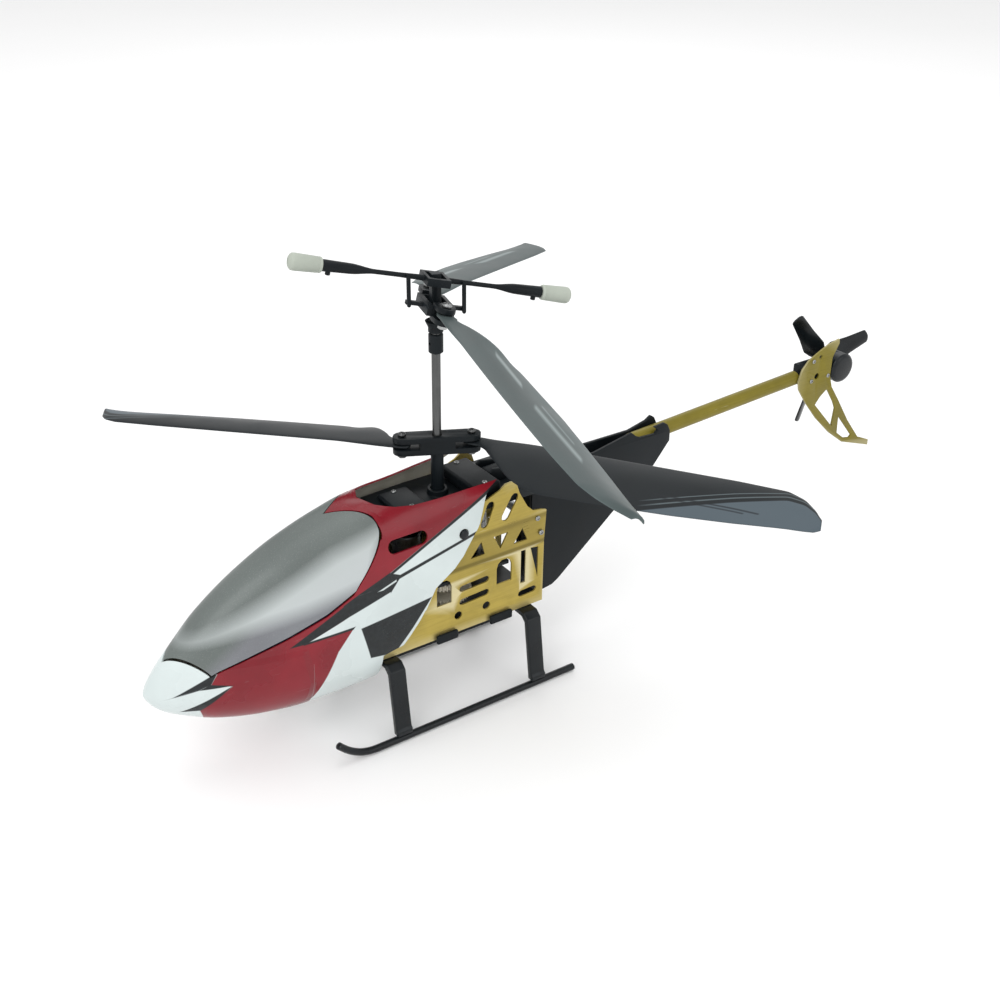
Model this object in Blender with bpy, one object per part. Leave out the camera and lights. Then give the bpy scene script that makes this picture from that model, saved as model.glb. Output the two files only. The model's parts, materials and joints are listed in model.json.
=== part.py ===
"""Coaxial toy helicopter: faceted solids with separate moving pieces. Metres, +Z up, nose toward -Y."""
import math

import bmesh
import bpy
import numpy as np
from mathutils import Matrix, Vector

MM = 0.001

# ------------------------------------------------------------------ driving dimensions, millimetres
SHIFT_X = -15.675          # mast axis from the origin
SHIFT_Y = -82.8
SHIFT_Z = 1.85             # skid centre line above the surface it stands on

ROTOR_R = 180.0
BLADE_PIVOT_UP = 14.0
BLADE_PIVOT_LOW = 16.8
LEAD = 4.5                 # blade edge ahead of the pivot line
TRAIL = 29.0
TRAIL_TIP = 21.6
PITCH_LOW = 14.0
PITCH_UP = 16.5
BLADE_T = 1.5
ROOT_FILL_LOW = 1.0        # share of the full trailing width at the blade root
ROOT_FILL_UP = 0.74

Z_LOW_HUB = 139.9
LOW_GRIP_AZ = 63.6
LOW_BLADE_AZ = 40.3
LOW_SLOPE = -8.6           # tip drop of the straight lower blade
HUB_AZ = -15.0             # line of the upper blade holder
HEAD_TILT = 13.0           # rest tilt of flybar and holder
Z_HOLDER = 209.5
Z_FLYBAR = 222.0
UP_NEAR_AZ = -12.5
UP_FAR_AZ = 121.7
UP_NEAR_BEND = (5.9, -15.8)
UP_FAR_BEND = (-1.2, 1.4)
FLYBAR_HALF = 68.0
LINK_R = 13.4
LINK_OUT = 1.5             # inner face of a link beside the flybar

SHAFT_R = 2.15
TUBE_R = 3.15
GEAR_TEETH = 54
PINION_TEETH = 10
MODULE = 0.6
Z_GEAR_UP = 57.5           # gear of the upper rotor
Z_GEAR_LOW = 66.5          # gear of the lower rotor
GEAR_W = 3.2
MOTOR_R = 8.2

SKID_X = 31.3
SKID_R = 1.85
FRAME_X = 20.0
FRAME_T = 1.0
FRAME_STEP = 1.2
FOLD_LO = 77.7
FOLD_HI = 95.0
PANEL_X = 6.6
BOOM_R = 4.1
GAP = 0.3

BOOM_A = (0.0, 123.0, 107.3)
BOOM_B = (0.0, 248.0, 114.4)
PROP_C = (-12.0, 283.0, 114.0)
PROP_R = 40.6
PROP_PHASE = 129.6
TAIL_MOTOR_R = 8.9

CANOPY_T = 0.9
# y, half width, top, widest height, bottom, squareness above, squareness below
CANOPY = ((-158.0, 0.6, 56.1, 55.5, 54.9, 2.0, 2.0),
          (-155.5, 4.6, 60.3, 55.0, 50.2, 2.0, 2.0),
          (-151.0, 7.9, 66.2, 54.5, 45.3, 2.0, 2.0),
          (-142.0, 12.0, 75.5, 54.5, 39.6, 2.0, 2.0),
          (-127.0, 16.8, 89.8, 55.0, 32.6, 2.05, 2.1),
          (-105.0, 21.0, 104.2, 57.0, 26.8, 2.15, 2.2),
          (-85.0, 23.2, 113.5, 59.0, 24.5, 2.3, 2.3),
          (-64.0, 24.3, 120.0, 62.0, 24.5, 2.5, 2.4),
          (-45.0, 24.6, 123.6, 65.0, 26.0, 2.8, 2.6),
          (-20.0, 24.4, 124.5, 68.0, 29.0, 3.4, 2.8),
          (0.0, 24.0, 124.5, 70.0, 32.0, 4.6, 3.0),
          (24.0, 23.6, 124.5, 72.0, 35.0, 6.5, 3.0))


# ------------------------------------------------------------------ scene helpers
def clear():
    """Remove whatever the scene holds."""
    for obj in list(bpy.data.objects):
        bpy.data.objects.remove(obj, do_unlink=True)


def material(name, rgb, metallic=0.0, rough=0.5):
    """One Principled material."""
    mat = bpy.data.materials.new(name)
    mat.use_nodes = True
    bsdf = mat.node_tree.nodes["Principled BSDF"]
    bsdf.inputs["Base Color"].default_value = (rgb[0], rgb[1], rgb[2], 1.0)
    bsdf.inputs["Metallic"].default_value = metallic
    bsdf.inputs["Roughness"].default_value = rough
    mat.diffuse_color = (rgb[0], rgb[1], rgb[2], 1.0)
    return mat


LOOKS = {"white": ((0.72, 0.76, 0.76), 0.0, 0.35),
         "screen": ((0.25, 0.28, 0.27), 0.0, 0.2),
         "gold": ((0.52, 0.40, 0.10), 0.8, 0.4),
         "black": ((0.03, 0.035, 0.038), 0.0, 0.45),
         "dark": ((0.05, 0.05, 0.055), 0.0, 0.5),
         "steel": ((0.55, 0.55, 0.56), 0.9, 0.35),
         "grey": ((0.20, 0.22, 0.22), 0.0, 0.4),
         "beige": ((0.42, 0.41, 0.36), 0.0, 0.5),
         "green": ((0.05, 0.22, 0.10), 0.0, 0.5),
         "blue": ((0.08, 0.14, 0.32), 0.0, 0.5),
         "nylon": ((0.60, 0.58, 0.52), 0.0, 0.5)}


def at(p):
    """Millimetres about the mast axis to metres in the part's frame."""
    return Vector(((p[0] + SHIFT_X) * MM, (p[1] + SHIFT_Y) * MM, (p[2] + SHIFT_Z) * MM))


def add(name, verts, faces, look, origin, parent=None, smooth=35.0):
    """Make one object from vertices in millimetres about the mast axis."""
    org = at(origin)
    mesh = bpy.data.meshes.new(name)
    mesh.from_pydata([at(v) - org for v in verts], [], faces)
    bm = bmesh.new()
    bm.from_mesh(mesh)
    bmesh.ops.remove_doubles(bm, verts=bm.verts, dist=0.000002)
    bmesh.ops.recalc_face_normals(bm, faces=bm.faces)
    bm.to_mesh(mesh)
    bm.free()
    obj = bpy.data.objects.new(name, mesh)
    bpy.context.scene.collection.objects.link(obj)
    obj.location = org
    if parent is not None:
        obj.parent = parent
        obj.location = org - world_at(parent)
    rgb, metallic, rough = LOOKS[look]
    mesh.materials.append(material(name + "_material", rgb, metallic, rough))
    if smooth:
        mesh.shade_smooth()
        mesh.set_sharp_from_angle(angle=math.radians(smooth))
    return obj


def world_at(obj):
    """World position of an unrotated object."""
    out = Vector((0, 0, 0))
    while obj is not None:
        out = out + obj.location
        obj = obj.parent
    return out


def empty(name, p, parent=None):
    """A parent point on a joint axis."""
    obj = bpy.data.objects.new(name, None)
    obj.empty_display_size = 0.01
    bpy.context.scene.collection.objects.link(obj)
    obj.location = at(p)
    if parent is not None:
        obj.parent = parent
        obj.location = at(p) - world_at(parent)
    return obj


def boolean(obj, verts, faces, operation="DIFFERENCE"):
    """Cut or join plain geometry, exact solver, and keep the result as the object's mesh."""
    mesh = bpy.data.meshes.new("tool")
    org = world_at(obj)
    mesh.from_pydata([at(v) - org for v in verts], [], faces)
    bm = bmesh.new()
    bm.from_mesh(mesh)
    bmesh.ops.recalc_face_normals(bm, faces=bm.faces)
    bm.to_mesh(mesh)
    bm.free()
    tool = bpy.data.objects.new("tool", mesh)
    bpy.context.scene.collection.objects.link(tool)
    tool.parent = obj
    tool.hide_render = True
    tool.display_type = "WIRE"
    mod = obj.modifiers.new("shape", "BOOLEAN")
    mod.object = tool
    mod.operation = operation
    mod.solver = "EXACT"
    bpy.context.view_layer.update()
    shaped = obj.evaluated_get(bpy.context.evaluated_depsgraph_get())
    result = bpy.data.meshes.new_from_object(shaped)
    obj.modifiers.clear()
    obj.data = result
    bpy.data.objects.remove(tool, do_unlink=True)
    bm = bmesh.new()
    bm.from_mesh(result)
    bmesh.ops.remove_doubles(bm, verts=bm.verts, dist=0.000005)
    bmesh.ops.dissolve_degenerate(bm, edges=bm.edges, dist=0.000004)
    bm.to_mesh(result)
    bm.free()
    return obj


# ------------------------------------------------------------------ geometry helpers, millimetres
def box_geo(x0, x1, y0, y1, z0, z1):
    """Plain box."""
    v = [(x, y, z) for z in (z0, z1) for y in (y0, y1) for x in (x0, x1)]
    f = [(0, 2, 3, 1), (4, 5, 7, 6), (0, 1, 5, 4), (2, 6, 7, 3), (0, 4, 6, 2), (1, 3, 7, 5)]
    return v, f


def chamfer_box(x0, x1, y0, y1, z0, z1, c):
    """Box with chamfered edges."""
    pts = []
    for sx, x in ((-1, x0), (1, x1)):
        for sy, y in ((-1, y0), (1, y1)):
            for sz, z in ((-1, z0), (1, z1)):
                pts.append((x - sx * c, y - sy * c, z))
                pts.append((x - sx * c, y, z - sz * c))
                pts.append((x, y - sy * c, z - sz * c))
    return hull_geo(pts)


def hull_geo(pts):
    """Convex hull of points."""
    bm = bmesh.new()
    for p in pts:
        bm.verts.new(p)
    out = bmesh.ops.convex_hull(bm, input=bm.verts)
    junk = set(out["geom_interior"]) | set(out["geom_unused"])
    bmesh.ops.delete(bm, geom=[g for g in junk if isinstance(g, bmesh.types.BMVert)], context="VERTS")
    bmesh.ops.dissolve_limit(bm, angle_limit=0.001, verts=bm.verts, edges=bm.edges)
    bm.verts.index_update()
    verts = [tuple(v.co) for v in bm.verts]
    faces = [tuple(v.index for v in f.verts) for f in bm.faces]
    bm.free()
    return verts, faces


def prism_geo(outline, holes, lo, hi, place):
    """Extrude a flat outline with holes; place(u, v, w) gives the point."""
    bm = bmesh.new()
    edges = []
    for loop in [outline] + list(holes):
        vs = [bm.verts.new((p[0], p[1], 0.0)) for p in loop]
        for i, v in enumerate(vs):
            edges.append(bm.edges.new((v, vs[(i + 1) % len(vs)])))
    bmesh.ops.triangle_fill(bm, use_beauty=True, edges=edges)
    bmesh.ops.recalc_face_normals(bm, faces=bm.faces)
    bm.verts.index_update()
    flat = [(v.co.x, v.co.y) for v in bm.verts]
    tris = [tuple(v.index for v in f.verts) for f in bm.faces]
    rim = [tuple(v.index for v in e.verts) for e in bm.edges if len(e.link_faces) == 1]
    bm.free()
    n = len(flat)
    verts = [place(u, v, lo) for u, v in flat] + [place(u, v, hi) for u, v in flat]
    faces = [t for t in tris] + [tuple(i + n for i in reversed(t)) for t in tris]
    faces += [(a, b, b + n, a + n) for a, b in rim]
    return verts, faces


def side(u, v, w):
    """Outline in y, z; thickness along x."""
    return (w, u, v)


def plan(u, v, w):
    """Outline in x, y; thickness along z."""
    return (u, v, w)


def front(u, v, w):
    """Outline in x, z; thickness along y."""
    return (u, w, v)


def circle(cx, cy, r, n=12, phase=0.0):
    """Points on a circle."""
    out = []
    for i in range(n):
        t = phase + 2 * math.pi * i / n
        out.append((cx + r * math.cos(t), cy + r * math.sin(t)))
    return out


def slot(cy, cz, length, width, angle=0.0, n=4):
    """Rounded slot outline."""
    r = width / 2
    h = length / 2 - r
    ca = math.cos(math.radians(angle))
    sa = math.sin(math.radians(angle))
    out = []
    for sign, start in ((1, -90), (-1, 90)):
        for i in range(n + 1):
            t = math.radians(start + 180.0 * i / n)
            u = sign * h + r * math.cos(t)
            v = r * math.sin(t)
            out.append((cy + u * ca - v * sa, cz + u * sa + v * ca))
    return out


def arch(cy, z0, z1, width, n=5):
    """Window with a round top."""
    r = width / 2
    out = [(cy - r, z0), (cy + r, z0)]
    for i in range(n + 1):
        t = math.pi * i / n
        out.append((cy + r * math.cos(t), z1 - r + r * math.sin(t)))
    return out


def rings_geo(rings, closed_ends=True):
    """Skin a list of equal rings."""
    n = len(rings[0])
    verts = [p for ring in rings for p in ring]
    faces = []
    for k in range(len(rings) - 1):
        for i in range(n):
            j = (i + 1) % n
            faces.append((k * n + i, k * n + j, (k + 1) * n + j, (k + 1) * n + i))
    if closed_ends:
        faces.append(tuple(reversed(range(n))))
        faces.append(tuple((len(rings) - 1) * n + i for i in range(n)))
    return verts, faces


def axes_of(direction):
    """Two unit vectors across a direction."""
    d = Vector(direction).normalized()
    ref = Vector((0, 0, 1)) if abs(d.z) < 0.9 else Vector((0, 1, 0))
    u = ref.cross(d).normalized()
    return d, u, d.cross(u)


def lathe_geo(a, direction, profile, n=20, phase=0.0):
    """Revolve (along, radius) pairs about an axis from point a; ends close at radius 0."""
    d, u, v = axes_of(direction)
    a = Vector(a)
    verts = []
    rows = []
    for s, r in profile:
        if r <= 0.0:
            rows.append([len(verts)])
            verts.append(tuple(a + d * s))
            continue
        row = []
        for i in range(n):
            t = phase + 2 * math.pi * i / n
            row.append(len(verts))
            verts.append(tuple(a + d * s + u * (r * math.cos(t)) + v * (r * math.sin(t))))
        rows.append(row)
    faces = []
    for p, q in zip(rows, rows[1:]):
        for i in range(n):
            j = (i + 1) % n
            if len(p) == 1 and len(q) == 1:
                continue
            if len(p) == 1:
                faces.append((p[0], q[j], q[i]))
            elif len(q) == 1:
                faces.append((p[i], p[j], q[0]))
            else:
                faces.append((p[i], p[j], q[j], q[i]))
    return verts, faces


def rod_geo(a, b, r, n=16, bevel=0.0):
    """Solid round bar."""
    length = (Vector(b) - Vector(a)).length
    if bevel:
        prof = [(0, 0), (0, r - bevel), (bevel, r), (length - bevel, r), (length, r - bevel), (length, 0)]
    else:
        prof = [(0, 0), (0, r), (length, r), (length, 0)]
    return lathe_geo(a, Vector(b) - Vector(a), prof, n)


def tube_geo(a, b, r_out, r_in, n=20):
    """Round tube with a bore, one closed body."""
    length = (Vector(b) - Vector(a)).length
    prof = [(0, r_in), (0, r_out), (length, r_out), (length, r_in), (0, r_in)]
    d, u, v = axes_of(Vector(b) - Vector(a))
    rings = []
    for i in range(n):
        t = 2 * math.pi * i / n
        ring = []
        for s, r in prof[:-1]:
            ring.append(tuple(Vector(a) + d * s + u * (r * math.cos(t)) + v * (r * math.sin(t))))
        rings.append(ring)
    verts = [p for ring in rings for p in ring]
    faces = []
    for i in range(n):
        j = (i + 1) % n
        for k in range(4):
            m = (k + 1) % 4
            faces.append((i * 4 + k, j * 4 + k, j * 4 + m, i * 4 + m))
    return verts, faces


def merge(*geos):
    """Several bodies in one list, for cutters."""
    verts, faces = [], []
    for v, f in geos:
        base = len(verts)
        verts += list(v)
        faces += [tuple(i + base for i in face) for face in f]
    return verts, faces


def moved(geo, matrix):
    """Transform geometry by a matrix in millimetres."""
    verts, faces = geo
    return [tuple(matrix @ Vector(v)) for v in verts], faces


def thick_shell(verts, faces, t):
    """Give an open surface a thickness toward its inside."""
    pts = np.array(verts, float)
    nrm = np.zeros_like(pts)
    for f in faces:
        p = pts[list(f)]
        n = np.zeros(3)
        for i in range(len(f)):
            n += np.cross(p[i], p[(i + 1) % len(f)])
        for i in f:
            nrm[i] += n
    nrm /= np.maximum(np.linalg.norm(nrm, axis=1), 1e-9)[:, None]
    inner = pts - nrm * t
    n = len(pts)
    count = {}
    for f in faces:
        for i in range(len(f)):
            e = (f[i], f[(i + 1) % len(f)])
            count[e] = count.get(e, 0) + 1
    rim = [e for e in count if (e[1], e[0]) not in count]
    out = list(faces) + [tuple(i + n for i in reversed(f)) for f in faces]
    out += [(b, a, a + n, b + n) for a, b in rim]
    return [tuple(p) for p in pts] + [tuple(p) for p in inner], out


# ------------------------------------------------------------------ canopy surface
def canopy_row(y):
    """Section values at y."""
    ys = [row[0] for row in CANOPY]
    y = min(max(y, ys[0]), ys[-1])
    for a, b in zip(CANOPY, CANOPY[1:]):
        if y <= b[0]:
            t = (y - a[0]) / (b[0] - a[0])
            return [p + (q - p) * t for p, q in zip(a, b)]
    return list(CANOPY[-1])


def canopy_point(y, angle, sign=1):
    """Point on the outer surface; angle 0 is the top, 90 the side, 180 the bottom."""
    _, w, zt, zc, zb, nu, nl = canopy_row(y)
    t = math.radians(angle)
    s = abs(math.sin(t))
    c = math.cos(t)
    n = nu if c >= 0 else nl
    x = w * s ** (2 / n)
    h = (zt - zc) if c >= 0 else (zb - zc)
    return (sign * x, y, zc + h * abs(c) ** (2 / n))


RIM = ((-158.5, 0.0), (-44.0, 0.0), (-43.0, 9.0), (-40.0, 16.0), (-33.0, 24.0), (-24.0, 29.0), (-10.0, 31.0),
       (24.0, 31.0))
BELT = ((-158.5, 88.0), (-132.0, 74.0), (-127.0, 73.0), (-112.0, 73.5), (-95.0, 74.0), (-75.0, 73.5),
        (-58.0, 70.0), (-20.0, 79.0), (24.0, 84.0))


def curve(table, y):
    """Linear look-up."""
    return float(np.interp(y, [p[0] for p in table], [p[1] for p in table]))


def key_row(k, v):
    """y of key row k at v: 0 rim or top, 1 belt, 2 bottom."""
    top = (-158.0, -147.5, -62.0, 23.0)[k]
    mid = (-158.0, -131.0, -61.0, 3.8)[k]
    low = (-158.0, -134.0, -62.0, -40.0)[k]
    if v <= 1.0:
        y = top + (mid - top) * v
        if k == 1:
            y -= 1.5 * math.sin(math.pi * v)
        if k == 2:
            y += 19.0 * math.sin(math.pi * v) ** 0.8
        if k == 3:
            y = float(np.interp(v, (0.0, 0.1, 0.37, 0.67, 0.88, 1.0), (23.0, 20.0, 14.1, 11.3, 9.0, 3.8)))
        return y
    if k == 3:
        return float(np.interp(v - 1, (0.0, 0.04, 0.064, 0.09, 0.13, 0.216, 0.325, 0.36, 1.0),
                               (3.8, -0.3, -5.6, -16.8, -23.2, -29.0, -35.2, -46.5, -47.5)))
    return mid + (low - mid) * (v - 1)


def canopy_uv(u, v, sign=1):
    """Surface point from row coordinate u 0..3 and girth v 0..2."""
    k = min(int(u), 2)
    t = u - k
    y = key_row(k, v) * (1 - t) + key_row(k + 1, v) * t
    rim = curve(RIM, y)
    belt = curve(BELT, y)
    if v <= 1.0:
        angle = rim + (belt - rim) * v
    else:
        angle = belt + (180.0 - belt) * (v - 1)
    return canopy_point(y, angle, sign)


def canopy_rows():
    """Row coordinates of the mesh."""
    rows = [0.12, 0.35, 0.65, 1.0]
    rows += [1.0 + i / 7 for i in range(1, 8)]
    rows += [2.0 + i / 7 for i in range(1, 8)]
    return rows


def build_canopy(root):
    """Shell with the screen opening left out, and the screen."""
    rows = canopy_rows()
    cols = [i / 6 for i in range(7)] + [1.05, 1.09, 1.2, 1.325, 1.36, 1.68, 2.0]
    last = len(cols) - 1
    verts = []
    index = {}

    def vid(i, j, s):
        p = canopy_uv(rows[i], cols[j], s)
        if abs(p[0]) < 0.001 or j == last:
            key = (i, j, 0)
            p = (0.0, p[1], p[2])
        else:
            key = (i, j, s)
        if key not in index:
            index[key] = len(verts)
            verts.append(p)
        return index[key]

    faces = []
    for s in (1, -1):
        for i in range(len(rows) - 1):
            for j in range(last):
                if 1.0 <= rows[i] < 1.999 and j < 6:
                    continue
                f = [vid(i, j, s), vid(i, j + 1, s), vid(i + 1, j + 1, s), vid(i + 1, j, s)]
                f = [a for n, a in enumerate(f) if a != f[n - 1]]
                faces.append(tuple(f if s > 0 else reversed(f)))
    tip = len(verts)
    verts.append((0.0, -158.0, 55.5))
    for s in (1, -1):
        for j in range(last):
            f = [tip, vid(0, j + 1, s), vid(0, j, s)]
            faces.append(tuple(reversed(f)) if s < 0 else tuple(f))
    faces = fix_winding(verts, faces)
    v, f = thick_shell(verts, faces, CANOPY_T)
    shell = add("canopy_shell", v, f, "white", (0, -80, 60), root, 40)
    cuts = []
    for s in (1, -1):
        cuts.append(prism_geo(slot(-30.5, 105.0, 21.0, 7.0, 3.0, 5), [], 14.0 * s, 32.0 * s, side))
        cuts.append(prism_geo(circle(0.0, 100.4, 2.7, 12), [], 16.0 * s, 32.0 * s, side))
    boolean(shell, *merge(*cuts))
    build_screen(root)
    return shell


def fix_winding(verts, faces):
    """Consistent outward winding."""
    bm = bmesh.new()
    vs = [bm.verts.new(v) for v in verts]
    for f in faces:
        bm.faces.new([vs[i] for i in f])
    bmesh.ops.recalc_face_normals(bm, faces=bm.faces)
    bm.verts.index_update()
    out = [tuple(v.index for v in f.verts) for f in bm.faces]
    total = 0.0
    for f in bm.faces:
        c = f.calc_center_median()
        total += f.normal.dot(c - Vector((0, c.y, 62))) * f.calc_area()
    bm.free()
    if total < 0:
        out = [tuple(reversed(f)) for f in out]
    return out


def build_screen(root):
    """Windscreen set in the shell's opening."""
    e = 0.012
    rows = [1 + e + (1 - 2 * e) * i / 9 for i in range(10)]
    cols = [(1 - 0.02) * i / 6 for i in range(7)]
    verts = []
    index = {}
    faces = []

    def vid(i, j, s):
        p = canopy_uv(rows[i], cols[j], s)
        key = (i, j, s) if j else (i, j, 0)
        if key not in index:
            index[key] = len(verts)
            verts.append(p)
        return index[key]

    for s in (1, -1):
        for i in range(9):
            for j in range(6):
                f = [vid(i, j, s), vid(i, j + 1, s), vid(i + 1, j + 1, s), vid(i + 1, j, s)]
                faces.append(tuple(f if s > 0 else reversed(f)))
    faces = fix_winding(verts, faces)
    v, f = thick_shell(verts, faces, CANOPY_T)
    return add("windscreen", v, f, "screen", (0, -100, 100), root, 40)


# ------------------------------------------------------------------ frame
def frame_windows():
    """Openings of the folded side plate, y and z."""
    out = [arch(-8.9, 60.5, 74.5, 8.6), arch(27.2, 61.0, 75.0, 9.2)]
    out.append([(37.6, 56.5), (40.6, 56.5), (40.6, 76.0), (37.6, 76.0)])
    out.append([(48.4, 57.0), (48.4, 75.2), (43.6, 76.0)])
    out.append(slot(9.0, 66.4, 18.0, 3.6, 3.0))
    out.append(slot(9.0, 58.6, 18.0, 3.6, 3.0))
    out.append(slot(42.0, 50.3, 11.5, 3.6, 3.0))
    out.append(circle(-0.7, 51.1, 2.3, 10))
    out.append(circle(16.4, 50.8, 2.3, 10))
    out.append([(6.5, 82.0), (15.0, 82.0), (12.5, 90.0)])
    out.append([(20.0, 90.5), (24.5, 82.0), (28.5, 90.5)])
    out.append([(32.5, 82.0), (41.0, 82.0), (37.5, 90.0)])
    out.append(slot(15.8, 104.5, 14.5, 4.4, 69.0))
    out.append(slot(29.2, 104.9, 15.5, 4.4, 60.0))
    out.append(slot(-28.0, 66.0, 12.0, 6.0, 90.0))
    out.append(circle(0.0, 100.4, 1.8, 10))
    return out


def frame_step(z):
    """Outward offset of the folded plate at height z."""
    return float(np.interp(z, (FOLD_LO, FOLD_HI), (-FRAME_STEP / 2, FRAME_STEP / 2)))


def build_frame_plate(name, sign, root):
    """Gold side plate with its fold."""
    outline = [(-47.0, 41.3), (52.0, 41.3), (52.0, 96.6), (49.0, 97.6), (43.5, 98.6), (40.0, 102.0),
               (35.0, 111.0), (33.0, 117.0), (30.0, 118.8), (26.5, 118.6), (23.0, 116.0), (14.0, 112.6),
               (4.0, 106.0), (-6.0, 104.0), (-30.0, 92.0), (-47.0, 76.0)]
    lo = FRAME_X - FRAME_T
    v, f = prism_geo(outline, frame_windows(), lo, FRAME_X, side)
    bm = bmesh.new()
    vs = [bm.verts.new(p) for p in v]
    for face in f:
        bm.faces.new([vs[i] for i in face])
    for z in (FOLD_LO, FOLD_HI):
        bmesh.ops.bisect_plane(bm, geom=list(bm.verts) + list(bm.edges) + list(bm.faces), dist=0.0001,
                               plane_co=(0, 0, z), plane_no=(0, 0, 1))
    bm.verts.index_update()
    verts = [(sign * (p.co.x + frame_step(p.co.z)), p.co.y, p.co.z) for p in bm.verts]
    faces = [tuple(q.index for q in face.verts) for face in bm.faces]
    bm.free()
    return add(name, verts, faces, "gold", (sign * FRAME_X, 0, 70), root, 20)


def build_chassis(root):
    """Everything that bolts to the two side plates."""
    build_frame_plate("frame_plate_port", 1, root)
    build_frame_plate("frame_plate_starboard", -1, root)
    xi = FRAME_X - FRAME_T - FRAME_STEP / 2 - GAP
    plate = [(-13.5, -112.0), (13.5, -112.0), (13.5, -36.0), (xi, -34.0), (xi, 50.0), (-xi, 50.0),
             (-xi, -34.0), (-13.5, -36.0)]
    holes = [circle(0, 0, SHAFT_R + 0.25, 16)]
    add("bottom_plate", *prism_geo(plate, holes, 43.0, 46.0, plan), "black", (0, 8, 44), root)
    dist = MODULE * (GEAR_TEETH + PINION_TEETH) / 2
    holes = [circle(0, 0, TUBE_R + 0.3, 16), circle(0, dist, 4.2, 14), circle(0, -dist, 4.2, 14)]
    plate = [(-xi, -31.0), (xi, -31.0), (xi, 31.0), (-xi, 31.0)]
    add("motor_plate", *prism_geo(plate, holes, 70.4, 72.4, plan), "black", (0, 0, 71), root)
    for name, y in (("motor_rear", dist), ("motor_front", -dist)):
        prof = [(0, 0), (0, 3.4), (1.2, 3.4), (1.2, MOTOR_R - 0.6), (1.8, MOTOR_R), (25.4, MOTOR_R),
                (26.0, MOTOR_R - 0.6), (26.0, 3.0), (27.4, 3.0), (27.4, 0)]
        add(name, *lathe_geo((0, y, 71.2), (0, 0, 1), prof, 20), "steel", (0, y, 71.2), root)
    top = [(-16.4, -37.0), (16.4, -37.0), (18.6, -10.0), (18.6, 52.0), (-18.6, 52.0), (-18.6, -10.0)]
    holes = [circle(0, 0, TUBE_R + 0.3, 16)]
    deck = add("top_deck", *prism_geo(top, holes, 106.5, 112.5, plan), "black", (0, 8, 110), root)
    boss = tube_geo((0, 0, 112.0), (0, 0, 115.6), 5.2, TUBE_R + 0.3, 16)
    boolean(deck, *boss, "UNION")
    boxes = [("deck_box_front", -10.0, 12.0, -29.0, -12.0, 112.8, 115.8),
             ("deck_box_middle", -13.5, 17.5, 10.0, 26.0, 112.8, 119.4),
             ("deck_box_rear", -3.6, 3.6, 27.0, 50.0, 112.8, 117.5)]
    for name, x0, x1, y0, y1, z0, z1 in boxes:
        add(name, *chamfer_box(x0, x1, y0, y1, z0, z1, 1.0), "black", ((x0 + x1) / 2, (y0 + y1) / 2, z0), root)
    add("spacer_rear", *rod_geo((-xi, 46.5, 90.0), (xi, 46.5, 90.0), 2.4, 14), "steel", (0, 46.5, 90.0), root)
    for word, s in (("port", 1), ("starboard", -1)):
        geo = rod_geo((s * 12.0, 0, 100.4), (s * 25.4, 0, 100.4), 1.2, 12)
        add("canopy_post_" + word, *geo, "black", (s * 20, 0, 100.4), root)
    add("battery", *chamfer_box(-12.5, 12.5, -110.0, -50.0, 46.3, 62.3, 1.5), "blue", (0, -80, 54), root)
    for name, y0, y1 in (("tab_front", -14.5, -2.0), ("tab_rear", 17.7, 31.3)):
        for word, s in (("port", 1), ("starboard", -1)):
            xs = sorted((s * (FRAME_X - 0.2), s * (FRAME_X + 2.0)))
            geo = chamfer_box(xs[0], xs[1], y0, y1, 39.4, 44.4, 0.6)
            add(name + "_" + word, *geo, "black", (s * FRAME_X, (y0 + y1) / 2, 42), root)


# ------------------------------------------------------------------ landing gear
def build_skids(root):
    """Skid tubes, legs and the two cross plates."""
    n = 12
    path = [(-77.5, 11.2), (-74.8, 8.2), (-71.0, 4.9), (-66.2, 2.0), (-61.5, 0.5), (-57.0, 0.0), (66.0, 0.0)]
    for name, s in (("skid_port", 1), ("skid_starboard", -1)):
        rings = []
        for i, (y, z) in enumerate(path):
            a = path[max(i - 1, 0)]
            b = path[min(i + 1, len(path) - 1)]
            t = math.atan2(b[1] - a[1], b[0] - a[0])
            ring = []
            for k in range(n):
                q = 2 * math.pi * (k + 0.5) / n
                r = SKID_R / math.cos(math.pi / n)
                du = r * math.cos(q)
                dv = r * math.sin(q)
                ring.append((s * (SKID_X + du), y - dv * math.sin(t), z + dv * math.cos(t)))
            rings.append(ring)
        add(name, *rings_geo(rings), "black", (s * SKID_X, 0, 0), root, 40)
    for word, y, z in (("front", -41.2, 0.0), ("rear", 41.0, 0.0)):
        geo = chamfer_box(-15.2, 15.2, y - 3.8, y + 3.8, 38.0, 42.7, 0.6)
        add("cross_plate_" + word, *geo, "black", (0, y, 41), root)
        for wing, s in (("port", 1), ("starboard", -1)):
            line = [(15.6, 38.0), (22.0, 38.0), (24.6, 35.8), (29.4, 2.6), (33.4, 2.6), (33.4, 5.2), (32.2, 6.4),
                    (27.6, 37.9), (24.0, 40.9), (15.6, 40.9)]
            v, f = prism_geo([(s * u, w) for u, w in line], [], y - 4.4, y + 4.4, front)
            add("leg_" + word + "_" + wing, v, f, "black", (s * 28, y, 20), root, 30)


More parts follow.
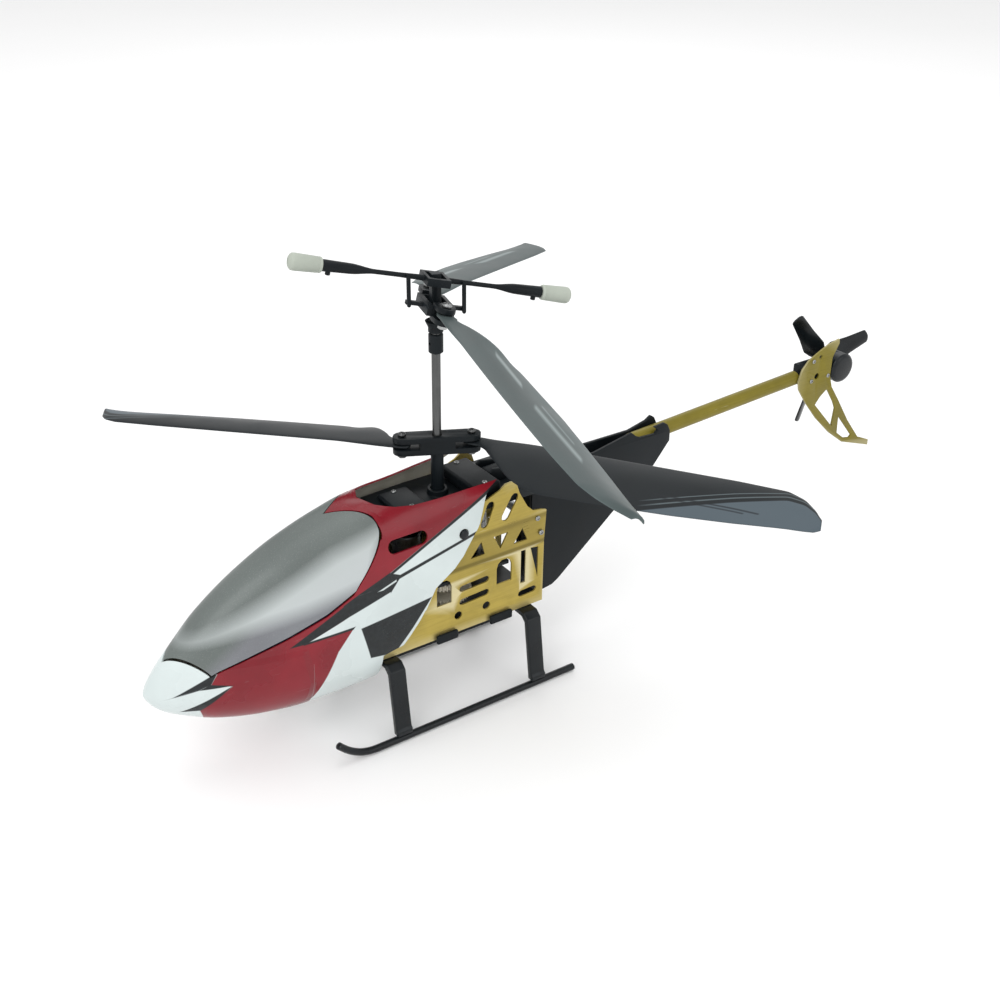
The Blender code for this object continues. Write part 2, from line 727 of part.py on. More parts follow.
# ------------------------------------------------------------------ tail
def build_tail(root):
    """Side panels, boom, fin, tail motor and propeller."""
    for word, s in (("port", 1), ("starboard", -1)):
        if s > 0:
            top = [(118.7, 115.6), (121.8, 112.8), (124.8, 111.2), (135.2, 110.6), (137.0, 112.6), (134.2, 114.8)]
        else:
            top = [(126.0, 110.6), (138.0, 113.4)]
        outline = [(26.6, 112.9), (26.6, 118.4), (28.6, 120.0), (66.0, 113.6), (93.0, 110.8)] + top
        outline += [(141.5, 115.6), (144.0, 114.0), (146.0, 110.0), (146.2, 104.0), (135.8, 91.4), (107.7, 70.0),
                    (72.4, 40.6), (68.4, 38.2), (63.0, 37.4), (53.0, 37.4), (53.0, 112.9)]
        v, f = prism_geo(outline, [], s * (PANEL_X - 2.0), s * PANEL_X, side)
        add("tail_panel_" + word, v, f, "black", (s * PANEL_X, 80, 100), root, 30)
    a = Vector(BOOM_A)
    b = Vector(BOOM_B)
    d = (b - a).normalized()
    x = PANEL_X - 2.0 - GAP
    clamp = add("boom_clamp", *chamfer_box(-x, x, 118.0, 138.0, 92.0, 103.6, 0.6), "black", (0, 128, 98), root)
    boolean(clamp, *rod_geo(tuple(a - d * 8), tuple(b), BOOM_R + GAP, 16))
    geo = chamfer_box(-x, x, 54.0, 66.0, 44.0, 98.0, 0.6)
    add("panel_spacer", *geo, "black", (0, 60, 70), root)
    add("tail_boom", *tube_geo(tuple(a), tuple(b), BOOM_R, BOOM_R - 0.6, 20), "gold", tuple(a), root)
    outline = [(276.5, 134.3), (268.0, 132.6), (260.5, 129.6), (252.5, 125.8), (248.0, 121.0), (245.6, 114.0),
               (247.0, 108.5), (254.4, 98.4), (265.3, 85.7), (279.1, 72.6), (292.5, 62.6), (297.0, 61.0),
               (318.0, 53.6), (318.0, 57.2), (311.0, 60.4), (307.4, 61.9), (295.0, 76.8), (283.4, 93.4),
               (275.6, 104.0), (272.6, 112.0), (272.6, 123.5), (276.9, 131.5)]
    holes = [[(262.8, 95.2), (266.4, 99.6), (271.6, 103.4), (279.0, 93.0), (281.4, 88.2), (280.6, 76.6)],
             [(285.8, 81.8), (300.4, 65.2), (299.0, 63.8), (293.6, 65.0), (286.6, 70.4)],
             circle(260.8, 114.2, 1.9, 10), circle(262.2, 126.0, 1.3, 8)]
    fin = prism_geo(outline, holes, BOOM_R + GAP, BOOM_R + GAP + 1.2, side)
    add("tail_fin", *fin, "gold", (4.4, 262, 110), root, 20)
    m = Vector(PROP_C)
    mount = add("tail_motor_mount", *chamfer_box(-4.6, 3.8, 250.4, 277.0, 109.4, 121.4, 0.8), "black",
                (0, 258, 114), root)
    boolean(mount, *rod_geo((-9.0, m.y, m.z), (8.0, m.y, m.z), TAIL_MOTOR_R + GAP, 24))
    prof = [(0, 0), (0, TAIL_MOTOR_R - 1.4), (0.5, TAIL_MOTOR_R - 0.5), (1.4, TAIL_MOTOR_R), (13.0, TAIL_MOTOR_R),
            (13.6, TAIL_MOTOR_R - 0.6), (13.6, 2.4), (14.6, 2.4), (14.6, 0)]
    add("tail_motor", *lathe_geo((6.4, m.y, m.z), (-1, 0, 0), prof, 22), "black", (0, m.y, m.z), root)
    prof = [(0, 0), (0, 2.4), (0.8, 3.0), (3.6, 3.0), (4.4, 2.2), (4.4, 0)]
    prop = add("tail_prop", *lathe_geo((m.x + 2.6, m.y, m.z), (-1, 0, 0), prof, 12), "black", tuple(m), root)
    for k in range(3):
        boolean(prop, *prop_blade(m, PROP_PHASE + 120 * k), "UNION")


def prop_blade(c, degrees):
    """One tail propeller blade, twisted."""
    t = math.radians(degrees)
    out = Vector((0, math.cos(t), math.sin(t)))
    tan = Vector((0, -math.sin(t), math.cos(t)))
    ax = Vector((1, 0, 0))
    rings = []
    for r, half, lean in ((1.2, 2.0, 40.0), (6.0, 5.0, 38.0), (12.0, 6.6, 32.0), (24.0, 5.0, 24.0),
                          (PROP_R, 3.5, 16.0)):
        q = math.radians(lean)
        w = tan * math.cos(q) - ax * math.sin(q)
        n = tan * math.sin(q) + ax * math.cos(q)
        p = c + out * r
        rings.append([tuple(p + w * half + n * 0.2), tuple(p + n * 0.7), tuple(p - w * half + n * 0.2),
                      tuple(p - w * half - n * 0.4), tuple(p + n * 0.1), tuple(p + w * half - n * 0.4)])
    return rings_geo(rings)


# ------------------------------------------------------------------ drive train
def gear_geo(teeth, z, width, bore, phase=0.0, n_face=1.0):
    """Spur gear with trapezoid teeth and a bore."""
    rp = MODULE * teeth / 2
    ra = rp + MODULE * 0.82
    rf = rp - MODULE * 1.1
    outline = []
    step = 2 * math.pi / teeth
    for i in range(teeth):
        c = phase + i * step
        for frac, r in ((-0.36, rf), (-0.11, ra), (0.11, ra), (0.36, rf)):
            outline.append((r * math.cos(c + frac * step), r * math.sin(c + frac * step)))
    holes = [circle(0, 0, bore, 16)] if bore else []
    return prism_geo(outline, holes, z - width / 2, z + width / 2, plan)


def build_drive(root, low, up):
    """Shafts, gears and pinions."""
    dist = MODULE * (GEAR_TEETH + PINION_TEETH) / 2
    add("outer_shaft", *tube_geo((0, 0, 68.6), (0, 0, Z_LOW_HUB - 4.9), TUBE_R, SHAFT_R + 0.05, 20), "black",
        (0, 0, 100), low)
    quarter = math.pi / 2
    add("gear_lower_rotor", *gear_geo(GEAR_TEETH, Z_GEAR_LOW, GEAR_W, SHAFT_R + 0.3, quarter), "nylon",
        (0, 0, Z_GEAR_LOW), low)
    inner = [(0, 0), (0, SHAFT_R - 0.3), (0.4, SHAFT_R), (152.7, SHAFT_R), (152.7, 0)]
    add("inner_shaft", *lathe_geo((0, 0, 44.0), (0, 0, 1), inner, 20), "steel", (0, 0, 120), up)
    add("gear_upper_rotor", *gear_geo(GEAR_TEETH, Z_GEAR_UP, GEAR_W, SHAFT_R + 0.05, quarter), "nylon",
        (0, 0, Z_GEAR_UP), up)
    pitch = 2 * math.pi / PINION_TEETH
    for name, y, z in (("pinion_rear", dist, Z_GEAR_LOW), ("pinion_front", -dist, Z_GEAR_UP)):
        v, f = gear_geo(PINION_TEETH, z, GEAR_W, 0.0, quarter + pitch / 2)
        obj = add(name, [(p[0], p[1] + y, p[2]) for p in v], f, "steel", (0, y, z), root)
        boolean(obj, *rod_geo((0, y, z), (0, y, 70.9), 1.0, 10), "UNION")
    add("mast_collar", *tube_geo((0, 0, 186.7), (0, 0, 196.0), 3.5, SHAFT_R + 0.05, 18), "black",
        (0, 0, 191), up)


# ------------------------------------------------------------------ rotor parts
def spin_z(degrees):
    """Rotation about the mast axis."""
    return Matrix.Rotation(math.radians(degrees), 4, "Z")


def tilt_about(p, direction, degrees):
    """Rotation about an axis through p."""
    move = Matrix.Translation(Vector(p))
    return move @ Matrix.Rotation(math.radians(degrees), 4, Vector(direction)) @ move.inverted()


def blade_geo(length, lead_sign, bend, top_pitch, fill):
    """Blade along +X from its pivot at the origin, flat eye at the root, twist to its pitch."""
    t = BLADE_T
    rows = [(-4.0, 1.4, 1.4), (-3.0, 2.9, 2.9), (0.0, 4.0, 4.0), (5.0, 4.0, 4.4), (9.0, 4.0, 7.0),
            (15.0, 4.2, 15.0), (24.0, LEAD, 24.0), (38.0, LEAD, TRAIL), (70.0, LEAD, TRAIL - 0.8),
            (100.0, LEAD, TRAIL - 2.2), (128.0, LEAD, TRAIL - 4.6), (length - 16.0, LEAD - 1.0, TRAIL_TIP),
            (length - 8.0, LEAD - 5.0, TRAIL_TIP - 0.4), (length - 3.0, LEAD - 11.0, TRAIL_TIP - 1.0),
            (length, LEAD - 17.0, TRAIL_TIP - 3.0)]
    rings = []
    for s, lead, trail in rows:
        if s > 5.0:
            trail *= 1.0 - (1.0 - fill) * max(1.0 - s / 80.0, 0.0)
        grow = min(max((s - 5.0) / 30.0, 0.0), 1.0)
        grow = grow * grow * (3 - 2 * grow)
        pitch = math.radians(top_pitch) * grow
        along = max(s - 4.5, 0.0) / (length - 4.5)
        lift = bend[0] * along ** 2 + bend[1] * along
        ring = []
        span = lead + trail
        top = [(lead, 0.0), (lead - span * 0.28, 1.0), (lead - span * 0.66, 0.8), (-trail, 0.0)]
        for c, h in top:
            camber = 1.6 * grow * h
            ring.append((c, camber + t / 2 * (0.45 if h == 0.0 else 1.0) + 0.35 * (1 - grow)))
        for c, h in reversed(top):
            camber = 1.6 * grow * h
            ring.append((c, camber - t / 2 * (0.45 if h == 0.0 else 1.0) - 0.35 * (1 - grow)))
        out = []
        for c, h in ring:
            y = lead_sign * (c * math.cos(pitch) - h * math.sin(pitch))
            z = c * math.sin(pitch) + h * math.cos(pitch)
            out.append((s, y, z + lift))
        rings.append(out)
    return rings_geo(rings)


def screw_geo(p, z0, z1, head):
    """Screw: thin shank, round head on top, nut below."""
    prof = [(0, 0), (0, 2.0), (1.4, 2.0), (1.4, 1.15), (z1 - z0, 1.15), (z1 - z0, head),
            (z1 - z0 + 1.1, head), (z1 - z0 + 1.6, head - 0.6), (z1 - z0 + 1.6, 0)]
    return lathe_geo((p[0], p[1], p[2] + z0), (0, 0, 1), prof, 12)


def build_lower_rotor(low):
    """Grip bar on the outer shaft, two blades and their screws."""
    az = math.radians(LOW_GRIP_AZ)
    half = 4.5
    out = []
    for sgn in (1, -1):
        for i in range(7):
            q = math.radians(-90 + 30 * i)
            out.append((sgn * (BLADE_PIVOT_LOW + half * math.cos(q)), sgn * half * math.sin(q)))
    geo = prism_geo(out, [], -4.5, 4.5, plan)
    at_hub = Matrix.Translation((0, 0, Z_LOW_HUB)) @ spin_z(LOW_GRIP_AZ)
    hub = add("lower_hub", *moved(geo, at_hub), "black", (0, 0, Z_LOW_HUB), low, 35)
    cuts = [rod_geo((0, 0, -8), (0, 0, 8), SHAFT_R + 0.25, 16)]
    for sgn in (1, -1):
        xs = sorted((sgn * (BLADE_PIVOT_LOW - 8.3), sgn * 30.0))
        cuts.append(box_geo(xs[0], xs[1], -9.0, 9.0, -1.7, 1.7))
        cuts.append(rod_geo((sgn * BLADE_PIVOT_LOW, 0, -8), (sgn * BLADE_PIVOT_LOW, 0, 8), 1.35, 12))
    boolean(hub, *moved(merge(*cuts), at_hub))
    pieces = []
    for word, k in (("a", 0.0), ("b", 180.0)):
        p = Vector((math.cos(az + math.radians(k)), math.sin(az + math.radians(k)), 0)) * BLADE_PIVOT_LOW
        p.z = Z_LOW_HUB
        fold = empty("lower_fold_" + word, tuple(p), low)
        length = ROTOR_R + 3.0 - BLADE_PIVOT_LOW * math.cos(math.radians(LOW_GRIP_AZ - LOW_BLADE_AZ))
        put = Matrix.Translation(p) @ spin_z(LOW_BLADE_AZ + k)
        geo = moved(blade_geo(length, 1.0, (0.0, LOW_SLOPE), PITCH_LOW, ROOT_FILL_LOW), put)
        blade = add("lower_blade_" + word, *geo, "dark", tuple(p), fold, 30)
        boolean(blade, *rod_geo((p.x, p.y, p.z - 4), (p.x, p.y, p.z + 4), 1.35, 12))
        add("lower_screw_" + word, *screw_geo(p, -6.5, 4.8, 2.0), "steel", tuple(p), low)
        pieces.append(blade)
    return pieces


def head_frame():
    """Matrix from the head's own axes to the part: x along the blade line, y along the flybar."""
    return spin_z(HUB_AZ)


def build_upper_head(up, seesaw, flybar):
    """Head core, rocking blade holder, blades, flybar with weights, and the two links."""
    local = head_frame()
    hold = local @ tilt_about((0, 0, Z_HOLDER), (1, 0, 0), -HEAD_TILT)
    bar = local @ tilt_about((0, 0, Z_FLYBAR), (1, 0, 0), -HEAD_TILT)
    core = add("head_core", *moved(lathe_geo((0, 0, 197.0), (0, 0, 1), [(0, 0), (0, 3.6), (2.2, 3.6),
               (5.2, 5.0), (5.2, 0)], 16), local), "black", (0, 0, 200), up)
    boolean(core, *moved(box_geo(-2.2, 2.2, -2.2, 2.2, 200.0, Z_FLYBAR + 3.0), local), "UNION")
    for z, reach in ((Z_HOLDER, 5.4), (Z_FLYBAR, 4.3)):
        boolean(core, *moved(rod_geo((-reach, 0, z), (reach, 0, z), 1.0, 10), local), "UNION")
    build_holder(seesaw, hold)
    build_flybar(flybar, bar)
    for word, sgn in (("front", -1), ("rear", 1)):
        pin = bar @ Vector((0, sgn * LINK_R, Z_FLYBAR))
        low_pin = hold @ Vector((0, sgn * LINK_R, Z_HOLDER))
        joint = empty("link_pivot_" + word, tuple(pin), flybar)
        x0 = LINK_OUT
        outline = slot(0.0, 0.0, Z_FLYBAR - Z_HOLDER + 3.6, 1.9, 90.0, 4)
        mid = (pin + low_pin) / 2
        v, f = prism_geo(outline, [], x0, x0 + 1.1, side)
        put = Matrix.Translation(mid) @ spin_z(HUB_AZ)
        add("flybar_link_" + word, *moved((v, f), put), "black", tuple(pin), joint, 30)


def build_holder(seesaw, hold):
    """Rocking blade holder with a fork at each end and an arm at each side."""
    z = Z_HOLDER
    ring = prism_geo([(-8.6, -6.6), (8.6, -6.6), (8.6, 6.6), (-8.6, 6.6)],
                     [[(-5.8, -4.6), (5.8, -4.6), (5.8, 4.6), (-5.8, 4.6)]], z - 2.6, z + 2.6, plan)
    holder = add("blade_holder", *moved(ring, hold), "black", (0, 0, z), seesaw, 30)
    joins = []
    for sgn in (1, -1):
        out = [(sgn * 8.2, -4.4 * sgn)]
        for i in range(7):
            q = math.radians(-90 + 30 * i)
            out.append((sgn * (BLADE_PIVOT_UP + 4.4 * math.cos(q)), sgn * 4.4 * math.sin(q)))
        out.append((sgn * 8.2, 4.4 * sgn))
        joins.append(prism_geo(out, [], z - 4.0, z + 4.0, plan))
        ys = sorted((sgn * 6.2, sgn * (LINK_R + 1.0)))
        joins.append(box_geo(-1.1, 1.1, ys[0], ys[1], z - 0.9, z + 0.9))
    for geo in joins:
        boolean(holder, *moved(geo, hold), "UNION")
    cuts = []
    for sgn in (1, -1):
        xs = sorted((sgn * 9.2, sgn * 24.0))
        cuts.append(box_geo(xs[0], xs[1], -9.0, 9.0, z - 1.7, z + 1.7))
        cuts.append(rod_geo((sgn * BLADE_PIVOT_UP, 0, z - 8), (sgn * BLADE_PIVOT_UP, 0, z + 8), 1.35, 12))
    boolean(holder, *moved(merge(*cuts), hold))
    for word, sgn, az, bend in (("a", 1, UP_NEAR_AZ, UP_NEAR_BEND), ("b", -1, UP_FAR_AZ, UP_FAR_BEND)):
        p = hold @ Vector((sgn * BLADE_PIVOT_UP, 0, z))
        fold = empty("upper_fold_" + word, tuple(p), seesaw)
        turn = az - HUB_AZ
        put = hold @ Matrix.Translation((sgn * BLADE_PIVOT_UP, 0, z)) @ spin_z(turn)
        geo = moved(blade_geo(ROTOR_R - BLADE_PIVOT_UP, -1.0, bend, PITCH_UP, ROOT_FILL_UP), put)
        blade = add("upper_blade_" + word, *geo, "grey", tuple(p), fold, 30)
        boolean(blade, *moved(rod_geo((sgn * BLADE_PIVOT_UP, 0, z - 4), (sgn * BLADE_PIVOT_UP, 0, z + 4), 1.35,
                                      12), hold))
        screw = screw_geo((sgn * BLADE_PIVOT_UP, 0, z), -6.0, 4.3, 2.3)
        add("upper_screw_" + word, *moved(screw, hold), "steel", tuple(p), seesaw)


def build_flybar(flybar, bar):
    """Cradle, rod and end weights."""
    z = Z_FLYBAR
    ring = prism_geo([(-6.6, -5.6), (6.6, -5.6), (6.6, 5.6), (-6.6, 5.6)],
                     [[(-4.6, -4.0), (4.6, -4.0), (4.6, 4.0), (-4.6, 4.0)]], z - 1.8, z + 1.8, plan)
    rod = add("flybar_rod", *moved(ring, bar), "black", (0, 0, z), flybar, 30)
    for sgn in (1, -1):
        shape = [(0, 0), (0, 1.3), (12.0, 1.1), (FLYBAR_HALF * 0.36, 1.1), (FLYBAR_HALF * 0.5, 2.4),
                 (FLYBAR_HALF - 15.5 - 5.2, 2.7), (FLYBAR_HALF - 15.5 - 5.2, 0)]
        boolean(rod, *moved(lathe_geo((0, sgn * 5.2, z), (0, sgn, 0), shape, 12), bar), "UNION")
        end = sgn * (FLYBAR_HALF - 15.5 + GAP)
        prof = [(0, 0), (0, 3.3), (0.8, 3.7), (12.4, 4.1), (14.2, 3.6), (15.2, 2.4), (15.2, 0)]
        name = "flybar_weight_" + ("rear" if sgn > 0 else "front")
        add(name, *moved(lathe_geo((0, end, z), (0, sgn, 0), prof, 18), bar), "beige",
            tuple(bar @ Vector((0, end, z))), flybar, 35)


# ------------------------------------------------------------------ assembly
def main():
    clear()
    root = empty("airframe", (0, 0, 0))
    build_canopy(root)
    build_chassis(root)
    build_skids(root)
    build_tail(root)
    low = empty("lower_rotor", (0, 0, Z_LOW_HUB), root)
    up = empty("upper_rotor", (0, 0, Z_HOLDER), root)
    build_drive(root, low, up)
    build_lower_rotor(low)
    seesaw = empty("holder_rock", (0, 0, Z_HOLDER), up)
    flybar = empty("flybar_rock", (0, 0, Z_FLYBAR), up)
    build_upper_head(up, seesaw, flybar)


main()
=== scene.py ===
"""Looks of the coaxial toy helicopter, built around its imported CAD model. Nose toward -Y, +Z up."""
import json
import math

import bmesh
import bpy
import numpy as np
from mathutils import Matrix, Vector

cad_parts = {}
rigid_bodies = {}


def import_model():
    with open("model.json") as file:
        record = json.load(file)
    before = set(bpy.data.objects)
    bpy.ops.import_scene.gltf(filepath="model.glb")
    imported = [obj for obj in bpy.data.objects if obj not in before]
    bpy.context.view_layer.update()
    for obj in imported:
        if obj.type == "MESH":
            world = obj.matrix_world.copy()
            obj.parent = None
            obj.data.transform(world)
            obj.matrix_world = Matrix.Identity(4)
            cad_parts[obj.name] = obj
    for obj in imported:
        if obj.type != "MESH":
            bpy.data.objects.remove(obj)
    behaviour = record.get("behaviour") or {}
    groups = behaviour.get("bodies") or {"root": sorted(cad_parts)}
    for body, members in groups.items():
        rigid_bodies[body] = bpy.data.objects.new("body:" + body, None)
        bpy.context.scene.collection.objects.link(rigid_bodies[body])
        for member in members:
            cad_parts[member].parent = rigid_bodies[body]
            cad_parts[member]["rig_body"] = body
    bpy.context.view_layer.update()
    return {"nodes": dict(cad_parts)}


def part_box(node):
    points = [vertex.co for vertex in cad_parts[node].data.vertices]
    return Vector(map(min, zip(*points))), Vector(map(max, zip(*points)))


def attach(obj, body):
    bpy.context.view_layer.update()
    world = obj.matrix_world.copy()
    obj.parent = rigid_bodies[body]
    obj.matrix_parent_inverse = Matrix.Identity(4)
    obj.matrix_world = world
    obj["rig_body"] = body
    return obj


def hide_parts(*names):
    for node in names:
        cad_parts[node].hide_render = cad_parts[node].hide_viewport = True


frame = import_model()

MM = 0.001
SKID_R = 1.85
LOW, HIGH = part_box("inner_shaft")
MAST = Vector(((LOW.x + HIGH.x) / 2, (LOW.y + HIGH.y) / 2, SKID_R * MM))

# ------------------------------------------------------------------ dimensions repeated from the CAD, mm
ROTOR_R = 180.0
PIVOT_UP = 14.0
PIVOT_LOW = 16.8
LEAD = 4.5
TRAIL = 29.0
TRAIL_TIP = 21.6
PITCH_LOW = 14.0
PITCH_UP = 16.5
FILL_UP = 0.74
BLADE_T = 1.5
Z_LOW_HUB = 139.9
GRIP_AZ = 63.6
LOW_AZ = 40.3
LOW_SLOPE = -8.6
HUB_AZ = -15.0
HEAD_TILT = 13.0
Z_HOLDER = 209.5
Z_FLYBAR = 222.0
NEAR_AZ, NEAR_BEND = -12.5, (5.9, -15.8)
FAR_AZ, FAR_BEND = 121.7, (-1.2, 1.4)
FLYBAR_HALF = 68.0
SHAFT_R = 2.15
TUBE_R = 3.15
MOTOR_R = 8.2
GEAR_Y = 19.2
BOOM_A = Vector((0.0, 123.0, 107.3))
BOOM_B = Vector((0.0, 248.0, 114.4))
BOOM_R = 4.1
PROP = Vector((-12.0, 283.0, 114.0))
PROP_R = 40.6
PROP_PHASE = 129.6
TAIL_MOTOR_R = 8.9
SKID_X = 31.3
CANOPY_T = 0.9
POST_X, POST_Z = 12.0, 100.4
Z_COLLAR = 186.7
Z_CAN = 71.2

# ------------------------------------------------------------------ linear colours
WHITE = (0.60, 0.665, 0.66)
RED = (0.21, 0.008, 0.016)
INK = (0.006, 0.008, 0.009)
GOLD = (0.44, 0.335, 0.075)
OLIVE = (0.19, 0.155, 0.016)
COAL = (0.0050, 0.0072, 0.0088)
SLATE = (0.062, 0.080, 0.080)
STEEL = (0.50, 0.51, 0.51)
BEIGE = (0.36, 0.39, 0.34)
NYLON = (0.60, 0.57, 0.48)


# ------------------------------------------------------------------ node graphs
class Paint:
    """A Principled material and short calls that add nodes to it."""

    def __init__(self, name, metallic=0.0, rough=0.5, coat=0.0, coat_rough=0.1, specular=0.5):
        self.mat = bpy.data.materials.new(name)
        self.mat.use_nodes = True
        self.tree = self.mat.node_tree
        self.bsdf = self.tree.nodes["Principled BSDF"]
        self.bsdf.inputs["Metallic"].default_value = metallic
        self.bsdf.inputs["Roughness"].default_value = rough
        self.bsdf.inputs["Coat Weight"].default_value = coat
        self.bsdf.inputs["Coat Roughness"].default_value = coat_rough
        self.bsdf.inputs["Specular IOR Level"].default_value = specular
        self.coord = self.tree.nodes.new("ShaderNodeTexCoord")
        self.place = self.coord.outputs["Object"]
        self.height = None

    def node(self, kind, **values):
        n = self.tree.nodes.new(kind)
        for key, value in values.items():
            setattr(n, key, value)
        return n

    def feed(self, socket, value):
        if isinstance(value, bpy.types.NodeSocket):
            self.tree.links.new(value, socket)
        else:
            socket.default_value = value

    def math(self, op, a, b=0.0, c=0.0, clamp=False):
        n = self.node("ShaderNodeMath", operation=op, use_clamp=clamp)
        self.feed(n.inputs[0], a)
        self.feed(n.inputs[1], b)
        self.feed(n.inputs[2], c)
        return n.outputs[0]

    def vector(self, op, a, b):
        n = self.node("ShaderNodeVectorMath", operation=op)
        self.feed(n.inputs[0], a)
        self.feed(n.inputs[1], b)
        return n.outputs["Value"] if op == "DOT_PRODUCT" else n.outputs["Vector"]

    def mix(self, fac, a, b):
        n = self.node("ShaderNodeMix", data_type="RGBA")
        self.feed(n.inputs["Factor"], fac)
        self.feed(n.inputs["A"], rgba(a))
        self.feed(n.inputs["B"], rgba(b))
        return n.outputs["Result"]

    def noise(self, scale, detail=3.0, stretch=None, rough=0.5):
        place = self.place
        if stretch:
            place = self.vector("MULTIPLY", place, stretch)
        n = self.node("ShaderNodeTexNoise")
        self.feed(n.inputs["Vector"], place)
        n.inputs["Scale"].default_value = scale
        n.inputs["Detail"].default_value = detail
        n.inputs["Roughness"].default_value = rough
        return n.outputs["Fac"]

    def span(self, value, lo, hi, to_lo=0.0, to_hi=1.0):
        n = self.node("ShaderNodeMapRange", clamp=True)
        self.feed(n.inputs["Value"], value)
        n.inputs["From Min"].default_value = lo
        n.inputs["From Max"].default_value = hi
        n.inputs["To Min"].default_value = to_lo
        n.inputs["To Max"].default_value = to_hi
        return n.outputs["Result"]

    def color(self, value):
        self.feed(self.bsdf.inputs["Base Color"], rgba(value))

    def rough(self, value):
        self.feed(self.bsdf.inputs["Roughness"], value)

    def bump(self, height, distance, strength=1.0):
        n = self.node("ShaderNodeBump")
        n.inputs["Distance"].default_value = distance
        n.inputs["Strength"].default_value = strength
        self.feed(n.inputs["Height"], height)
        if self.height is not None:
            self.feed(n.inputs["Normal"], self.height)
        self.height = n.outputs["Normal"]
        self.feed(self.bsdf.inputs["Normal"], self.height)

    def polygon(self, points, soft=0.18):
        """1 inside a convex outline of the side view, given as (y, z) in mm about the mast axis."""
        centre = np.mean(points, axis=0)
        inside = None
        for i, p in enumerate(points):
            q = points[(i + 1) % len(points)]
            n = np.array([q[1] - p[1], p[0] - q[0]], float)
            n /= np.linalg.norm(n)
            if np.dot(n, centre - np.array(p)) < 0:
                n = -n
            shift = n @ (np.array(p) * MM + np.array([MAST.y, MAST.z]))
            dot = self.vector("DOT_PRODUCT", self.place, (0.0, n[0], n[1]))
            d = self.math("SUBTRACT", dot, float(shift))
            inside = d if inside is None else self.math("MINIMUM", inside, d)
        return self.math("MULTIPLY_ADD", inside, 1.0 / (2 * soft * MM), 0.5, clamp=True)

    def union(self, *outlines, soft=0.18):
        total = None
        for points in outlines:
            mask = self.polygon(points, soft)
            total = mask if total is None else self.math("MAXIMUM", total, mask)
        return total


def rgba(c):
    """Colour as four numbers; a socket stays as it is."""
    if isinstance(c, bpy.types.NodeSocket):
        return c
    return (c[0], c[1], c[2], 1.0)


def shade(c, k):
    """Colour scaled by k."""
    return tuple(min(v * k, 1.0) for v in c)


def edge_wear(p, lo=0.52, hi=0.60):
    """Convex edges of the surface."""
    geo = p.node("ShaderNodeNewGeometry")
    return p.span(geo.outputs["Pointiness"], lo, hi)


def plastic(name, rgb, rough=0.45, grain=0.35, worn=1.6, coat=0.0, spread=0.25, specular=0.16):
    """Moulded plastic: fine spark grain, cloudy tone, rubbed edges and a little dust."""
    p = Paint(name, rough=rough, coat=coat, coat_rough=0.15, specular=specular)
    cloud = p.noise(60.0, 4.0)
    fine = p.noise(2600.0, 2.0)
    base = p.mix(p.span(cloud, 0.3, 0.7), shade(rgb, 1 - spread), shade(rgb, 1 + spread))
    speck = p.span(p.noise(900.0, 2.0), 0.62, 0.75, 0.0, 0.35)
    base = p.mix(speck, base, shade(rgb, worn))
    base = p.mix(p.math("MULTIPLY", edge_wear(p), 0.55), base, shade(rgb, worn * 1.3))
    p.color(base)
    broad = p.span(cloud, 0.25, 0.75, rough - 0.08, rough + 0.1)
    p.rough(p.math("ADD", broad, p.span(fine, 0, 1, -0.05, 0.05)))
    p.bump(fine, 0.00003, grain)
    p.bump(cloud, 0.00015, 0.15)
    return p.mat


def metal(name, rgb, rough=0.3, stretch=(1.0, 1.0, 0.05), metallic=0.95, tint=0.2):
    """Brushed or turned metal with fine lines and light smudges."""
    p = Paint(name, metallic=metallic, rough=rough)
    lines = p.noise(3200.0, 3.0, stretch)
    cloud = p.noise(90.0, 4.0)
    base = p.mix(p.span(cloud, 0.3, 0.7), shade(rgb, 1 - tint), shade(rgb, 1 + tint))
    base = p.mix(p.span(lines, 0.35, 0.65, 0.0, 0.3), base, shade(rgb, 0.6))
    base = p.mix(p.math("MULTIPLY", edge_wear(p, 0.53, 0.62), 0.5), base, shade(rgb, 1.7))
    p.color(base)
    broad = p.span(cloud, 0.3, 0.7, rough - 0.06, rough + 0.1)
    p.rough(p.math("ADD", broad, p.span(lines, 0.3, 0.7, -0.06, 0.06)))
    p.bump(lines, 0.00002, 0.35)
    return p.mat


# ------------------------------------------------------------------ graphics of the canopy, (y, z) mm
FLANK = [((-137.0, 46.7), (-121.9, 57.4), (-83.5, 57.4), (-83.5, 15.0), (-126.0, 15.0)),
         ((-131.4, 60.1), (-127.6, 65.8), (-112.0, 84.0), (-56.0, 104.0), (-56.0, 88.0), (-83.5, 57.0),
          (-121.9, 57.0)),
         ((-83.7, 70.0), (-62.7, 69.4), (-70.7, 59.7), (-83.7, 59.7)),
         ((-83.7, 60.0), (-70.7, 60.0), (-83.5, 33.0))]
TOP = [((-66.9, 81.0), (16.5, 119.3), (34.0, 127.4), (34.0, 150.0), (-66.9, 150.0))]
SWOOSH = [((-86.9, 69.4), (-63.7, 76.8), (-41.4, 82.9), (-41.4, 69.4)),
          ((-42.0, 60.0), (-42.0, 83.2), (30.0, 104.0), (30.0, 60.0)),
          ((-41.4, 82.0), (-41.3, 91.4), (-22.0, 100.6), (16.0, 117.9), (30.0, 123.5), (30.0, 82.0))]
